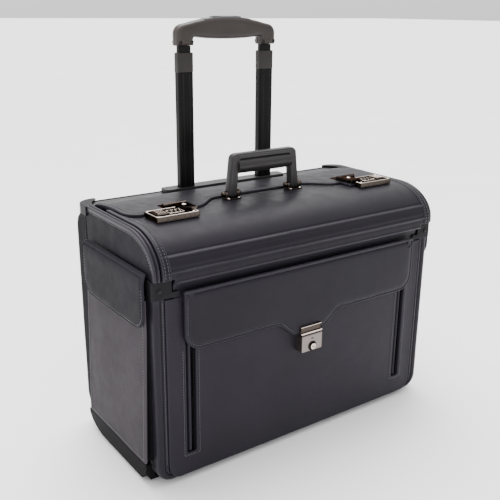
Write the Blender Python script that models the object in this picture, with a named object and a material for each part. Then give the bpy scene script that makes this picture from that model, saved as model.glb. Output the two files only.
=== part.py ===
"""Rolling pilot flight case: leatherette box with a two-part top, outside pockets and a trolley.

Frame: metres, +Z up, origin on the floor under the middle of the overall box, front towards -Y,
+X to the right of someone who faces the front. The case stands with both lids and all flaps
closed, the carry handle upright and the trolley's first stage pulled out. The dimensions below
are set out about the middle plane of the case body, y = 0 there; build() then moves everything
by ORIGIN_Y, because the locks and brackets stand out further in front than behind.
"""

import math

import bmesh
import bpy
from mathutils import Vector

MM = 0.001
GAP = 0.3 * MM
SINK = 0.5 * MM
FAR = 1.0

# Case body
ORIGIN_Y = 9.75 * MM
CASE_HALF_W = 237.5 * MM
REAR_Y = 107.0 * MM
BASE_Z = 4.0 * MM
TRAY_TOP_Z = 31.0 * MM
TRAY_HALF_W = 246.0 * MM
TRAY_FLOOR = 4.0 * MM
TRAY_WALL_Y = 5.5 * MM
TRAY_REAR_R = 25.0 * MM
STRIP_Y = (-92.0 * MM, 86.0 * MM)
STRIP_FRONT_R = 22.0 * MM
STRIP_REAR_R = (62.0 * MM, 25.0 * MM)
TRAY_EDGE_R = 6.0 * MM
TRAY_INNER_HALF_W = 231.0 * MM
SIDE_THICK = 8.0 * MM
SIDE_RECESS = 3.3 * MM
SIDE_RECESS_REAR_Y = 70.0 * MM
SIDE_RECESS_Z = (39.0 * MM, 292.0 * MM)
BOARD_REAR_Y = -88.0 * MM
BOARD_THICK = 4.0 * MM
FRAME_FRONT_Y = -110.0 * MM
FRAME_WIDTH = 15.5 * MM
FRAME_BASE_Z = 8.0 * MM
FRAME_TOP_Z = 264.0 * MM
FRAME_CORNER_R = 22.0 * MM
FRAME_SILL = 12.0 * MM
FRAME_WINDOW_R = 12.0 * MM
REAR_WRAP_Y = 76.0 * MM
REAR_THICK = 5.5 * MM
REAR_CORNER_R = 22.0 * MM
REAR_WALL_R = 6.0 * MM
REAR_TOP_Z = 338.0 * MM
COVER_BOARD_Y = (79.5 * MM, 82.0 * MM)
COVER_BOARD_STEP_Z = 45.0 * MM

# Curved top: quarter ellipse that both the side panels and the front lid follow
ARCH_Y = -50.0 * MM
ARCH_Z = 295.0 * MM
LID_REACH = 70.0 * MM
LID_RISE = 48.0 * MM
LID_THICK = 5.0 * MM
PANEL_REACH = 63.5 * MM
PANEL_RISE = 44.0 * MM
ARCH_STEPS = 14

# Front lid
LID_HALF_W = CASE_HALF_W - SIDE_THICK - 1.0 * MM
LID_LIP_Z = 283.0 * MM
LID_END_LIP_Z = 289.5 * MM
LID_END_LIP_X = 212.0 * MM
LID_EAR_Y = 30.0 * MM
LID_TOP_Z = ARCH_Z + LID_RISE
FRONT_HINGE = (0.0, -121.5 * MM, 281.5 * MM)

# Rear lid and the seam between the two lids
SEAM_GAP = 1.0 * MM
SEAM_HALF_W = 222.5 * MM
SEAM_Y = -25.0 * MM
SEAM_MID_Y = 3.0 * MM
SEAM_CORNER_R = 22.0 * MM
SEAM_BEND_X = (120.0 * MM, 76.0 * MM)
REAR_LID_END_Y = 80.0 * MM
REAR_LID_TOP_Z = 346.5 * MM
REAR_LID_THICK = 7.0 * MM
REAR_LID_DROP = 6.5 * MM
REAR_LID_EDGE = 5.0 * MM
REAR_LID_FALL_Y = 20.0 * MM
REAR_HINGE = (0.0, 80.8 * MM, 341.0 * MM)
TAB_X = (132.0 * MM, 156.0 * MM)
TAB_Y = -46.5 * MM

# Front pocket
POCKET_HALF_W = 221.3 * MM
POCKET_BASE_Z = 20.7 * MM
POCKET_CORNER_R = 11.3 * MM
POCKET_SIDE_TOP_Z = 262.0 * MM
POCKET_MOUTH_Z = 238.0 * MM
POCKET_MOUTH_HALF_W = 195.0 * MM
POCKET_FRONT_Y = -110.5 * MM
POCKET_THICK = 3.0 * MM
SLOT_X = 187.3 * MM
SLOT_HALF_W = 7.2 * MM
SLOT_Z = (40.0 * MM, 222.0 * MM)
SLOT_CORNER_R = 4.3 * MM
FLAP_HALF_W = 199.0 * MM
FLAP_TOP_Z = 270.0 * MM
FLAP_EDGE_Z = 190.0 * MM
FLAP_TONGUE_Z = 168.0 * MM
FLAP_TONGUE_HALF_W = 21.0 * MM
FLAP_TONGUE_ROOT_X = 58.0 * MM
FLAP_Y = (-119.0 * MM, -114.5 * MM)
FLAP_CORNER_R = 24.0 * MM
FLAP_HINGE = (0.0, -112.5 * MM, 271.0 * MM)

# Side pockets
SIDE_POCKET_Y = (-98.0 * MM, 74.0 * MM)
SIDE_POCKET_Z = (36.0 * MM, 262.0 * MM)
SIDE_POCKET_X = (250.0 * MM, 243.6 * MM)
SIDE_POCKET_WALL = 2.5 * MM
SIDE_POCKET_KINK_Z = 218.0 * MM
SIDE_POCKET_CHAMFER = (3.0 * MM, 4.0 * MM)
SIDE_FLAP_Y = (-104.0 * MM, 72.0 * MM)
SIDE_FLAP_Z = (222.0 * MM, 297.0 * MM)
SIDE_FLAP_X = (244.2 * MM, 248.0 * MM)
SIDE_FLAP_WEB = 4.0 * MM
SIDE_FLAP_CORNER_R = 26.0 * MM
SIDE_HINGE_X = 238.6 * MM
SIDE_HINGE_Z = 298.5 * MM

# Hinge rails and corner brackets
RAIL_HALF_W = 229.0 * MM
RAIL_Y = (-106.0 * MM, -88.0 * MM)
RAIL_Z = (264.3 * MM, 281.0 * MM)
RAIL_EDGE_R = 3.0 * MM
BRACKET_OUT = 240.3 * MM
BRACKET_FRONT_Y = -113.0 * MM
BRACKET_REAR_Y = -98.0 * MM
BRACKET_CHAMFER = 3.0 * MM
BRACKET_TAIL_X = 203.0 * MM
BRACKET_TAIL_Z = 272.0 * MM
BRACKET_STEP_X = 213.0 * MM
BRACKET_TOP_Z = 288.0 * MM
REAR_RAIL_Y = (82.0 * MM, 100.9 * MM)
REAR_RAIL_Z = (326.0 * MM, 337.6 * MM)
REAR_RAIL_ARM_X = (224.8 * MM, 229.2 * MM)
REAR_RAIL_ARM_Y = 32.0 * MM
REAR_RAIL_CORNER = (214.2 * MM, 84.0 * MM)
REAR_BRACKET_Z = (328.0 * MM, 341.0 * MM)
REAR_BRACKET_THICK = 2.5 * MM
REAR_BRACKET_X = 210.0 * MM
REAR_BRACKET_Y = 70.0 * MM
CAP_BASE_Z = 339.4 * MM
CAP_INNER = ((210.0 * MM, 103.0 * MM), (222.0 * MM, 90.0 * MM), (229.5 * MM, 70.0 * MM))

# Trolley
TUBE_X = 70.5 * MM
TUBE_Y = 92.0 * MM
GUIDE_SIZE = (28.4 * MM, 17.4 * MM)
GUIDE_Z = (24.0 * MM, 325.0 * MM)
GUIDE_R = 5.2 * MM
GUIDE_BAR_HALF_D = 7.0 * MM
GUIDE_BAR_H = 12.0 * MM
STAGE1_SIZE = (24.5 * MM, 13.5 * MM)
STAGE1_Z = (250.0 * MM, 535.0 * MM)
STAGE1_HOLE_R = 3.6 * MM
STAGE2_SIZE = (19.5 * MM, 9.5 * MM)
STAGE2_Z = (285.0 * MM, 544.7 * MM)
TUBE_WALL = 1.2 * MM
TUBE_CLEARANCE = 0.8 * MM
TUBE_ROUNDNESS = 0.24
BEZEL_HALF_W = 108.0 * MM
BEZEL_Z = (338.3 * MM, 343.6 * MM)
BEZEL_Y = 93.0 * MM
BEZEL_DEPTH = 22.0 * MM
BEZEL_R = 5.0 * MM
GRIP_HALF_W = 84.5 * MM
GRIP_Z = (545.0 * MM, 584.2 * MM)
GRIP_END_Z = 572.0 * MM
GRIP_END_R = 10.0 * MM
GRIP_EDGE_R = 2.5 * MM
GRIP_UNDER_Z = 555.0 * MM
GRIP_LEG_X = 58.0 * MM
GRIP_LEG_CHAMFER = 4.0 * MM
GRIP_DEPTH = 20.0 * MM
BUTTON_HALF_W = 24.0 * MM
BUTTON_HALF_D = 5.6 * MM
BUTTON_Z = (577.0 * MM, 584.6 * MM)
BUTTON_TRAVEL = 4.0 * MM
BUTTON_EDGE_R = 1.2 * MM

# Carry handle
HANDLE_Y = -4.0 * MM
HANDLE_HALF_D = 6.0 * MM
HANDLE_PIVOT_Z = 349.5 * MM
HANDLE_TOP_Z = 405.5 * MM
HANDLE_BAR_Z = 397.0 * MM
HANDLE_FOOT_X = (47.5 * MM, 61.6 * MM)
HANDLE_HEAD_X = (43.6 * MM, 56.5 * MM)
HANDLE_FOOT_R = 4.2 * MM
HANDLE_NECK_H = 6.0 * MM
HANDLE_SHOULDER_R = 9.0 * MM
HANDLE_INNER_CHAMFER = 1.5 * MM
HANDLE_ROLL_R = 10.0 * MM
HANDLE_ROLL_Z = 386.6 * MM
HANDLE_ROLL_HALF_L = 41.5 * MM
PIN_R = 1.9 * MM
EAR_THICK = 4.5 * MM
EAR_R = 5.0 * MM
BRACKET_PLATE_Y = (-13.0 * MM, 1.5 * MM)
BRACKET_PLATE_THICK = 1.4 * MM

# Combination locks, mirrored on both sides of the lid
LOCK_X = (140.0 * MM, 202.0 * MM)
LOCK_Y = (-61.0 * MM, -26.0 * MM)
LOCK_Z = (343.3 * MM, 350.0 * MM)
LOCK_RIM = 2.0 * MM
LOCK_NOTCH = (156.6 * MM, -47.2 * MM)
DIAL_X = (161.5 * MM, 167.5 * MM, 173.5 * MM)
DIAL_Y = -44.0 * MM
DIAL_Z = 348.6 * MM
DIAL_R = 4.2 * MM
DIAL_HALF_W = 2.1 * MM
SLIDE_X = (180.5 * MM, 196.5 * MM)
SLIDE_Y = (-53.0 * MM, -34.0 * MM)
SLIDE_Z = (346.5 * MM, 351.8 * MM)
SLIDE_POCKET_X = (178.5 * MM, 200.4 * MM)
SLIDE_FLOOR_Z = 346.2 * MM
HASP_PIVOT = (-14.0 * MM, 350.7 * MM)
HASP_KNUCKLE_R = 2.6 * MM
HASP_X = (134.0 * MM, 168.0 * MM)
HASP_EAR_W = 7.5 * MM
HASP_ARM_X = (134.5 * MM, 154.5 * MM)
HASP_ARM_Y = (-44.8 * MM, -18.5 * MM)
HASP_ARM_HALF_T = 1.4 * MM
HASP_PLATE_Y = (-20.0 * MM, 2.0 * MM)
HASP_PLATE_THICK = 0.9 * MM
HASP_NOSE_X = (137.5 * MM, 151.5 * MM)
HASP_NOSE_Y = (-42.8 * MM, -34.8 * MM)
HASP_NOSE_Z = (347.2 * MM, 352.6 * MM)

# Key lock of the front pocket
KEY_LOCK_HALF_W = 18.0 * MM
KEY_LOCK_Z = (142.0 * MM, 166.8 * MM)
KEY_LOCK_Y = (-126.0 * MM, -110.8 * MM)
CATCH_HALF_W = 17.5 * MM
CATCH_Z = (167.6 * MM, 179.5 * MM)
CATCH_Y = (-122.4 * MM, -119.3 * MM)
KNOB_Z = 149.5 * MM
KNOB_R = 4.6 * MM
KNOB_Y = (-129.0 * MM, -126.3 * MM)
KEYWAY_W = 5.2 * MM
KEYWAY_H = 1.2 * MM
KEYWAY_DEPTH = 1.2 * MM
LOCK_EDGE_R = 1.2 * MM

# Wheels and feet
WHEEL_X = 206.0 * MM
WHEEL_Y = 76.0 * MM
WHEEL_R = 19.0 * MM
WHEEL_HALF_W = 10.0 * MM
HUB_R = 12.0 * MM
AXLE_R = 3.0 * MM
AXLE_BORE_R = 3.2 * MM
HOUSING_HALF_W = 17.0 * MM
HOUSING_Y = (53.5 * MM, 97.9 * MM)
HOUSING_TOP_Z = 43.0 * MM
HOUSING_WALL = 4.0 * MM
HOUSING_TRIM = 2.0 * MM
HOUSING_REAR_Z = 14.0 * MM
HOUSING_MOUTH_Z = 12.0 * MM
WELL_CLEARANCE = 1.2 * MM
FOOT_X = 195.0 * MM
FOOT_Y = -66.0 * MM
FOOT_R = 11.0 * MM

# Colours (linear RGB), roughness, metallic
FINISHES = {
    "leatherette": ((0.040, 0.038, 0.043), 0.42, 0.0),
    "black_plastic": ((0.018, 0.018, 0.019), 0.50, 0.0),
    "board": ((0.030, 0.029, 0.031), 0.80, 0.0),
    "gunmetal": ((0.210, 0.185, 0.165), 0.30, 1.0),
    "nickel": ((0.420, 0.370, 0.340), 0.28, 1.0),
    "black_aluminium": ((0.022, 0.020, 0.021), 0.35, 0.8),
    "grip_plastic": ((0.075, 0.062, 0.064), 0.45, 0.0),
    "rubber": ((0.015, 0.015, 0.015), 0.75, 0.0),
    "steel": ((0.550, 0.550, 0.560), 0.30, 1.0),
}


# ---------------------------------------------------------------- helpers


def clear_scene():
    for obj in list(bpy.data.objects):
        bpy.data.objects.remove(obj, do_unlink=True)


def finish_material(name):
    material = bpy.data.materials.get(name)
    if material:
        return material
    colour, roughness, metallic = FINISHES[name]
    material = bpy.data.materials.new(name)
    material.use_nodes = True
    shader = material.node_tree.nodes["Principled BSDF"]
    shader.inputs["Base Color"].default_value = (*colour, 1.0)
    shader.inputs["Roughness"].default_value = roughness
    shader.inputs["Metallic"].default_value = metallic
    material.diffuse_color = (*colour, 1.0)
    return material


def add_object(name, bm, finish):
    bmesh.ops.recalc_face_normals(bm, faces=bm.faces)
    mesh = bpy.data.meshes.new(name)
    bm.to_mesh(mesh)
    bm.free()
    obj = bpy.data.objects.new(name, mesh)
    bpy.context.scene.collection.objects.link(obj)
    if finish:
        mesh.materials.append(finish_material(finish))
    return obj


def to_world(axis, u, v, w):
    """Place a profile point: x extrudes a (y, z) profile, y an (x, z) one and z an (x, y) one."""
    if axis == "x":
        return Vector((w, u, v))
    if axis == "y":
        return Vector((u, w, v))
    return Vector((u, v, w))


def prism(name, outline, axis, low, high, finish=None):
    """Extrude a closed outline along an axis from low to high."""
    bm = bmesh.new()
    verts = [bm.verts.new(to_world(axis, u, v, low)) for u, v in outline]
    face = bm.faces.new(verts)
    result = bmesh.ops.extrude_face_region(bm, geom=[face])
    moved = [item for item in result["geom"] if isinstance(item, bmesh.types.BMVert)]
    bmesh.ops.translate(bm, verts=moved, vec=to_world(axis, 0, 0, high - low))
    return add_object(name, bm, finish)


def box(name, x, y, z, finish=None):
    outline = [(x[0], y[0]), (x[1], y[0]), (x[1], y[1]), (x[0], y[1])]
    return prism(name, outline, "z", z[0], z[1], finish)


def arc(u, v, radius_u, start, end, steps, radius_v=None):
    """Points on a circle or ellipse between two angles in degrees, both ends included."""
    radius_v = radius_u if radius_v is None else radius_v
    points = []
    for i in range(steps + 1):
        angle = math.radians(start + (end - start) * i / steps)
        points.append((u + radius_u * math.cos(angle), v + radius_v * math.sin(angle)))
    return points


def circle(u, v, radius, steps=24):
    return arc(u, v, radius, 0, 360 - 360 / steps, steps - 1)


def rounded_rect(u, v, width, height, radius, steps=4):
    """Outline of a rounded rectangle centred on (u, v)."""
    du = width / 2 - radius
    dv = height / 2 - radius
    points = arc(u + du, v + dv, radius, 0, 90, steps)
    points += arc(u - du, v + dv, radius, 90, 180, steps)
    points += arc(u - du, v - dv, radius, 180, 270, steps)
    points += arc(u + du, v - dv, radius, 270, 360, steps)
    return points


def smooth_step(start, end, steps):
    """Points of a smooth S-curve between two points, without the first one."""
    points = []
    for i in range(1, steps + 1):
        t = i / steps
        ease = t * t * (3 - 2 * t)
        points.append((start[0] + (end[0] - start[0]) * t, start[1] + (end[1] - start[1]) * ease))
    return points


def mirrored(outline):
    return [(-u, v) for u, v in reversed(outline)]


def boolean(obj, other, operation):
    modifier = obj.modifiers.new(operation.lower(), "BOOLEAN")
    modifier.object = other
    modifier.operation = operation
    modifier.solver = "EXACT"
    other.hide_render = True
    other.display_type = "WIRE"
    return obj


def cut(obj, cutter):
    return boolean(obj, cutter, "DIFFERENCE")


def join(obj, other):
    return boolean(obj, other, "UNION")


def bevel(obj, width, segments=2, angle=40):
    modifier = obj.modifiers.new("bevel", "BEVEL")
    modifier.width = width
    modifier.segments = segments
    modifier.limit_method = "ANGLE"
    modifier.angle_limit = math.radians(angle)
    return obj


def smooth(obj):
    obj.data.shade_smooth()
    obj.data.set_sharp_from_angle(angle=math.radians(35))
    return obj


def add_axis(name, pivot, parent, parent_pivot):
    """Empty at a joint, placed relative to the empty of the body that carries it."""
    empty = bpy.data.objects.new(name + "_axis", None)
    empty.empty_display_size = 20 * MM
    empty.parent = parent
    empty.location = Vector(pivot) - Vector(parent_pivot)
    bpy.context.scene.collection.objects.link(empty)
    return empty


def hang(pieces, axis, pivot):
    """Hang pieces on the empty that stands on their joint's axis."""
    for piece in pieces:
        piece.parent = axis
        piece.location = -Vector(pivot)


def sides():
    """Name suffix and sign of x for the two mirrored sides."""
    return (("left", -1), ("right", 1))


def span(sign, near, far):
    """An x range on one side, given its distances from the middle."""
    return (near, far) if sign > 0 else (-far, -near)


# ---------------------------------------------------------------- case body


def tray_plan():
    """Plan of the tray: its rear corners follow the rear wall, and strips stand out at its sides."""
    right = [(FAR, STRIP_Y[0]), (FAR, STRIP_Y[1]), (CASE_HALF_W, STRIP_Y[1])]
    right += arc(CASE_HALF_W - REAR_WALL_R, REAR_Y - REAR_WALL_R, REAR_WALL_R, 0, 90, 4)
    return right + mirrored(right)


def strip_profile():
    """Side view of the strips, rounded at the front and swept up at the rear."""
    rear_u, rear_v = STRIP_REAR_R
    outline = [(STRIP_Y[0], FAR)]
    outline += arc(STRIP_Y[0] + STRIP_FRONT_R, BASE_Z + STRIP_FRONT_R, STRIP_FRONT_R, 180, 270, 6)
    outline += arc(STRIP_Y[1] - rear_u, BASE_Z + rear_v, rear_u, 270, 360, 8, rear_v)
    return outline + [(STRIP_Y[1], FAR)]


def tray_inside():
    """Plan and side view of the hollow of the tray, rounded like its outside."""
    middle_x = CASE_HALF_W - REAR_CORNER_R
    middle_y = REAR_Y - REAR_CORNER_R
    inner_y = REAR_Y - TRAY_WALL_Y
    right = [(TRAY_INNER_HALF_W, -FAR)]
    right += arc(middle_x, middle_y, TRAY_INNER_HALF_W - middle_x, 0, 90, 6, inner_y - middle_y)
    profile = [(-FAR, FAR), (-FAR, BASE_Z + TRAY_FLOOR)]
    middle_y = REAR_Y - TRAY_REAR_R
    radius_z = TRAY_REAR_R - TRAY_FLOOR
    profile += arc(middle_y, BASE_Z + TRAY_REAR_R, inner_y - middle_y, 270, 360, 6, radius_z)
    return right + mirrored(right), profile + [(inner_y, FAR)]


def base_tray():
    """Moulded tray under the case: a rounded rear edge over the wheels, strips along both sides."""
    outline = [(STRIP_Y[0], TRAY_TOP_Z), (STRIP_Y[0], BASE_Z)]
    outline += arc(REAR_Y - TRAY_REAR_R, BASE_Z + TRAY_REAR_R, TRAY_REAR_R, 270, 360, 6)
    outline += [(REAR_Y, TRAY_TOP_Z)]
    tray = prism("base_tray", outline, "x", -TRAY_HALF_W, TRAY_HALF_W, "black_plastic")
    bevel(tray, TRAY_EDGE_R, 3, 60)
    boolean(tray, prism("tray_plan", tray_plan(), "z", -FAR, FAR), "INTERSECT")
    front_half_w = CASE_HALF_W + GAP
    for side, sign in sides():
        beside = box("tray_beside_" + side, span(sign, front_half_w, FAR), (-FAR, FAR), (-FAR, FAR))
        low, high = span(sign, CASE_HALF_W, 2 * FAR)
        cut(beside, prism("tray_strip_" + side, strip_profile(), "x", low, high))
        cut(tray, beside)
    front = box("tray_front", (-front_half_w, front_half_w), (-FAR, BOARD_REAR_Y + GAP), (-FAR, FAR))
    cut(tray, front)
    plan, profile = tray_inside()
    inside = prism("tray_inside", plan, "z", -FAR, FAR)
    boolean(inside, prism("tray_inside_profile", profile, "x", -FAR, FAR), "INTERSECT")
    cut(tray, inside)
    for side, sign in sides():
        half = HOUSING_HALF_W + 2 * GAP
        well = box(
            "wheel_well_" + side,
            (sign * WHEEL_X - half, sign * WHEEL_X + half),
            (HOUSING_Y[0] - 2 * GAP, HOUSING_Y[1] + 2 * GAP),
            (-FAR, FAR),
        )
        cut(tray, well)


def front_outline(half_w, base_z, top_z, radius):
    """Upright panel outline with rounded bottom corners, seen from the front."""
    outline = arc(-half_w + radius, base_z + radius, radius, 180, 270, 5)
    outline += arc(half_w - radius, base_z + radius, radius, 270, 360, 5)
    outline += [(half_w, top_z), (-half_w, top_z)]
    return outline


def front_panels():
    """Front wall of the main compartment, the raised frame before it and the pocket panel."""
    outline = front_outline(CASE_HALF_W, FRAME_BASE_Z, FRAME_TOP_Z, FRAME_CORNER_R)
    wall_front = BOARD_REAR_Y - BOARD_THICK
    prism("front_board", outline, "y", wall_front, BOARD_REAR_Y, "board")
    frame = prism("front_frame", outline, "y", FRAME_FRONT_Y, wall_front - GAP, "leatherette")
    window_half_w = CASE_HALF_W - FRAME_WIDTH
    window = front_outline(window_half_w, FRAME_BASE_Z + FRAME_SILL, FAR, FRAME_WINDOW_R)
    cut(frame, prism("front_frame_window", window, "y", -FAR, FAR))

    sheet = front_outline(POCKET_HALF_W, POCKET_BASE_Z, POCKET_SIDE_TOP_Z, POCKET_CORNER_R)
    low_y = POCKET_FRONT_Y
    panel = prism("front_pocket_panel", sheet, "y", low_y, low_y + POCKET_THICK, "leatherette")
    mouth_x = (-POCKET_MOUTH_HALF_W, POCKET_MOUTH_HALF_W)
    cut(panel, box("pocket_mouth", mouth_x, (-FAR, 0), (POCKET_MOUTH_Z, FAR)))
    slot_z = (SLOT_Z[0] + SLOT_Z[1]) / 2
    slot_h = SLOT_Z[1] - SLOT_Z[0]
    for side, sign in sides():
        slot = rounded_rect(sign * SLOT_X, slot_z, 2 * SLOT_HALF_W, slot_h, SLOT_CORNER_R, 3)
        cut(panel, prism("pocket_slot_" + side, slot, "y", -FAR, 0))


def side_panels():
    """End walls with the quarter-round top that the front lid follows."""
    outline = [
        (REAR_WRAP_Y - GAP, TRAY_TOP_Z + GAP),
        (REAR_WRAP_Y - GAP, ARCH_Z + PANEL_RISE),
    ]
    outline += arc(ARCH_Y, ARCH_Z, PANEL_REACH, 90, 180, ARCH_STEPS, PANEL_RISE)
    outline += [
        (ARCH_Y - PANEL_REACH, BRACKET_TOP_Z + GAP),
        (BOARD_REAR_Y + GAP, BRACKET_TOP_Z + GAP),
        (BOARD_REAR_Y + GAP, TRAY_TOP_Z + GAP),
    ]
    for side, sign in sides():
        low, high = span(sign, CASE_HALF_W - SIDE_THICK, CASE_HALF_W)
        panel = prism("side_panel_" + side, outline, "x", low, high, "leatherette")
        recess = box(
            "side_recess_" + side,
            span(sign, CASE_HALF_W - SIDE_RECESS, FAR),
            (-FAR, SIDE_RECESS_REAR_Y),
            SIDE_RECESS_Z,
        )
        cut(panel, recess)


def rear_panel():
    """Rear wall that wraps around both rear corners, rounder where the brackets hold them."""
    outer_w = CASE_HALF_W
    inner_w = CASE_HALF_W - SIDE_THICK
    inner_y = REAR_Y - REAR_THICK
    inner_r = REAR_CORNER_R - REAR_THICK
    outline = [(outer_w, REAR_WRAP_Y)]
    outline += arc(outer_w - REAR_WALL_R, REAR_Y - REAR_WALL_R, REAR_WALL_R, 0, 90, 4)
    outline += mirrored(outline)
    inside = [(inner_w, REAR_WRAP_Y)]
    inside += arc(inner_w - inner_r, inner_y - inner_r, inner_r, 0, 90, 5)
    inside += mirrored(inside)
    outline += list(reversed(inside))
    wall = prism("rear_panel", outline, "z", TRAY_TOP_Z + GAP, REAR_TOP_Z, "leatherette")
    middle_y = REAR_Y - REAR_CORNER_R
    for side, sign in sides():
        corner_x = span(sign, outer_w - REAR_CORNER_R, FAR)
        corner = box("rear_corner_" + side, corner_x, (middle_y, FAR), (REAR_BRACKET_Z[0] - GAP, FAR))
        rounding = circle(sign * (outer_w - REAR_CORNER_R), middle_y, REAR_CORNER_R, 20)
        cut(corner, prism("rear_rounding_" + side, rounding, "z", -FAR, FAR))
        cut(wall, corner)


def trolley_cover_board():
    """Inner rear wall that parts the main compartment from the trolley."""
    wide = CASE_HALF_W - SIDE_THICK - 2 * GAP
    narrow = WHEEL_X - HOUSING_HALF_W - 3 * GAP
    step_z = COVER_BOARD_STEP_Z
    base_z = BASE_Z + TRAY_FLOOR + GAP
    top_z = REAR_RAIL_Z[0] - GAP
    half = [(narrow, base_z), (narrow, step_z), (wide, step_z), (wide, top_z)]
    outline = half + mirrored(half)
    prism("trolley_cover_board", outline, "y", COVER_BOARD_Y[0], COVER_BOARD_Y[1], "board")


def hinge_rails():
    """Rails that carry the two lids."""
    low_y, high_y = RAIL_Y
    low_z, high_z = RAIL_Z
    middle = ((low_y + high_y) / 2, (low_z + high_z) / 2)
    profile = rounded_rect(*middle, high_y - low_y, high_z - low_z, RAIL_EDGE_R, 2)
    prism("front_hinge_rail", profile, "x", -RAIL_HALF_W, RAIL_HALF_W, "black_plastic")
    arm_in, arm_out = REAR_RAIL_ARM_X
    corner_x, corner_y = REAR_RAIL_CORNER
    half = [
        (arm_in, REAR_RAIL_Y[0]),
        (arm_in, REAR_RAIL_ARM_Y),
        (arm_out, REAR_RAIL_ARM_Y),
        (arm_out, corner_y),
        (corner_x, REAR_RAIL_Y[1]),
    ]
    low_z, high_z = REAR_RAIL_Z
    outline = half + mirrored(half)
    rail = prism("rear_hinge_rail", outline, "z", low_z, high_z, "black_plastic")
    cut_tube_holes(rail)


def first_stage_hole(middle_x):
    """Outline of the sliding clearance around a first-stage tube."""
    width = STAGE1_SIZE[0] + TUBE_CLEARANCE
    depth = STAGE1_SIZE[1] + TUBE_CLEARANCE
    return rounded_rect(middle_x, TUBE_Y, width, depth, STAGE1_HOLE_R, 3)


def cut_tube_holes(obj):
    for side, sign in sides():
        hole = first_stage_hole(sign * TUBE_X)
        cut(obj, prism(obj.name + "_hole_" + side, hole, "z", 0, FAR))


def front_bracket(side, sign):
    """Metal corner around one end of the front rail, with a low tail along the front."""
    inner_x = RAIL_HALF_W + GAP
    side_x = CASE_HALF_W - 2 * GAP
    outline = [
        (BRACKET_OUT, BRACKET_REAR_Y),
        (BRACKET_OUT, BRACKET_FRONT_Y + BRACKET_CHAMFER),
        (BRACKET_OUT - BRACKET_CHAMFER, BRACKET_FRONT_Y),
        (BRACKET_TAIL_X, BRACKET_FRONT_Y),
        (BRACKET_TAIL_X, FRAME_FRONT_Y - GAP),
        (inner_x, FRAME_FRONT_Y - GAP),
        (inner_x, BOARD_REAR_Y - GAP),
        (side_x, BOARD_REAR_Y - GAP),
        (side_x, BRACKET_REAR_Y),
    ]
    outline = outline if sign > 0 else mirrored(outline)
    low_z = RAIL_Z[0] + GAP
    name = "front_bracket_" + side
    bracket = prism(name, outline, "z", low_z, BRACKET_TOP_Z, "gunmetal")
    step_x = span(sign, 0, BRACKET_STEP_X)
    cut(bracket, box("bracket_step_" + side, step_x, (-FAR, 0), (BRACKET_TAIL_Z, FAR)))


def rear_bracket(side, sign):
    """Corner cap wrapped around the rear wall's rounded corner."""
    centre_x = CASE_HALF_W - REAR_CORNER_R
    centre_y = REAR_Y - REAR_CORNER_R
    outer_r = REAR_CORNER_R + REAR_BRACKET_THICK
    outside = [(centre_x + outer_r, REAR_BRACKET_Y)]
    outside += arc(centre_x, centre_y, outer_r, 0, 90, 5)
    outside += [(REAR_BRACKET_X, centre_y + outer_r)]
    inside = arc(centre_x, centre_y, REAR_CORNER_R + GAP, 0, 90, 5)
    inside += [(REAR_BRACKET_X, REAR_Y + GAP)]
    inside = [(CASE_HALF_W + GAP, REAR_BRACKET_Y)] + inside
    wall = outside + list(reversed(inside))
    cap = outside + list(CAP_INNER)
    wall = wall if sign > 0 else mirrored(wall)
    cap = cap if sign > 0 else mirrored(cap)
    low_z, high_z = REAR_BRACKET_Z
    corner = prism("rear_bracket_" + side, wall, "z", low_z, high_z, "gunmetal")
    join(corner, prism("rear_bracket_cap_" + side, cap, "z", CAP_BASE_Z, high_z))


# ---------------------------------------------------------------- lids


def seam_outline(inset):
    """Plan outline of the rear lid's front edge from right to left, moved back by inset."""
    half_w = SEAM_HALF_W - inset
    edge_y = SEAM_Y + inset
    radius = SEAM_CORNER_R
    tab_in = TAB_X[0] + inset
    tab_out = TAB_X[1] - inset
    right = arc(half_w - radius, edge_y + radius, radius, 360, 270, 5)
    right += [(tab_out, edge_y), (tab_out, TAB_Y + inset)]
    right += [(tab_in, TAB_Y + inset), (tab_in, edge_y), (SEAM_BEND_X[0], edge_y)]
    right += smooth_step((SEAM_BEND_X[0], edge_y), (SEAM_BEND_X[1], SEAM_MID_Y + inset), 6)
    return right + mirrored(right)


def front_lid():
    """Quarter-round lid that swings forward about its lower front edge."""
    outline = [(ARCH_Y - LID_REACH, LID_LIP_Z)]
    outline += arc(ARCH_Y, ARCH_Z, LID_REACH, 180, 90, ARCH_STEPS, LID_RISE)
    outline += [(LID_EAR_Y, LID_TOP_Z), (LID_EAR_Y, LID_TOP_Z - LID_THICK)]
    outline += arc(
        ARCH_Y,
        ARCH_Z,
        LID_REACH - LID_THICK,
        90,
        180,
        ARCH_STEPS,
        LID_RISE - LID_THICK,
    )
    outline += [(ARCH_Y - LID_REACH + LID_THICK, LID_LIP_Z)]
    shell = prism("front_lid_shell", outline, "x", -LID_HALF_W, LID_HALF_W, "leatherette")
    edge = [(SEAM_HALF_W, FAR)] + seam_outline(0) + [(-SEAM_HALF_W, FAR)]
    cut(shell, prism("front_lid_edge", edge, "z", ARCH_Z, FAR))
    for side, sign in sides():
        corner = box(
            "lid_corner_" + side,
            span(sign, LID_END_LIP_X, FAR),
            (-FAR, ARCH_Y),
            (0, LID_END_LIP_Z),
        )
        cut(shell, corner)
    return shell


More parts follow.
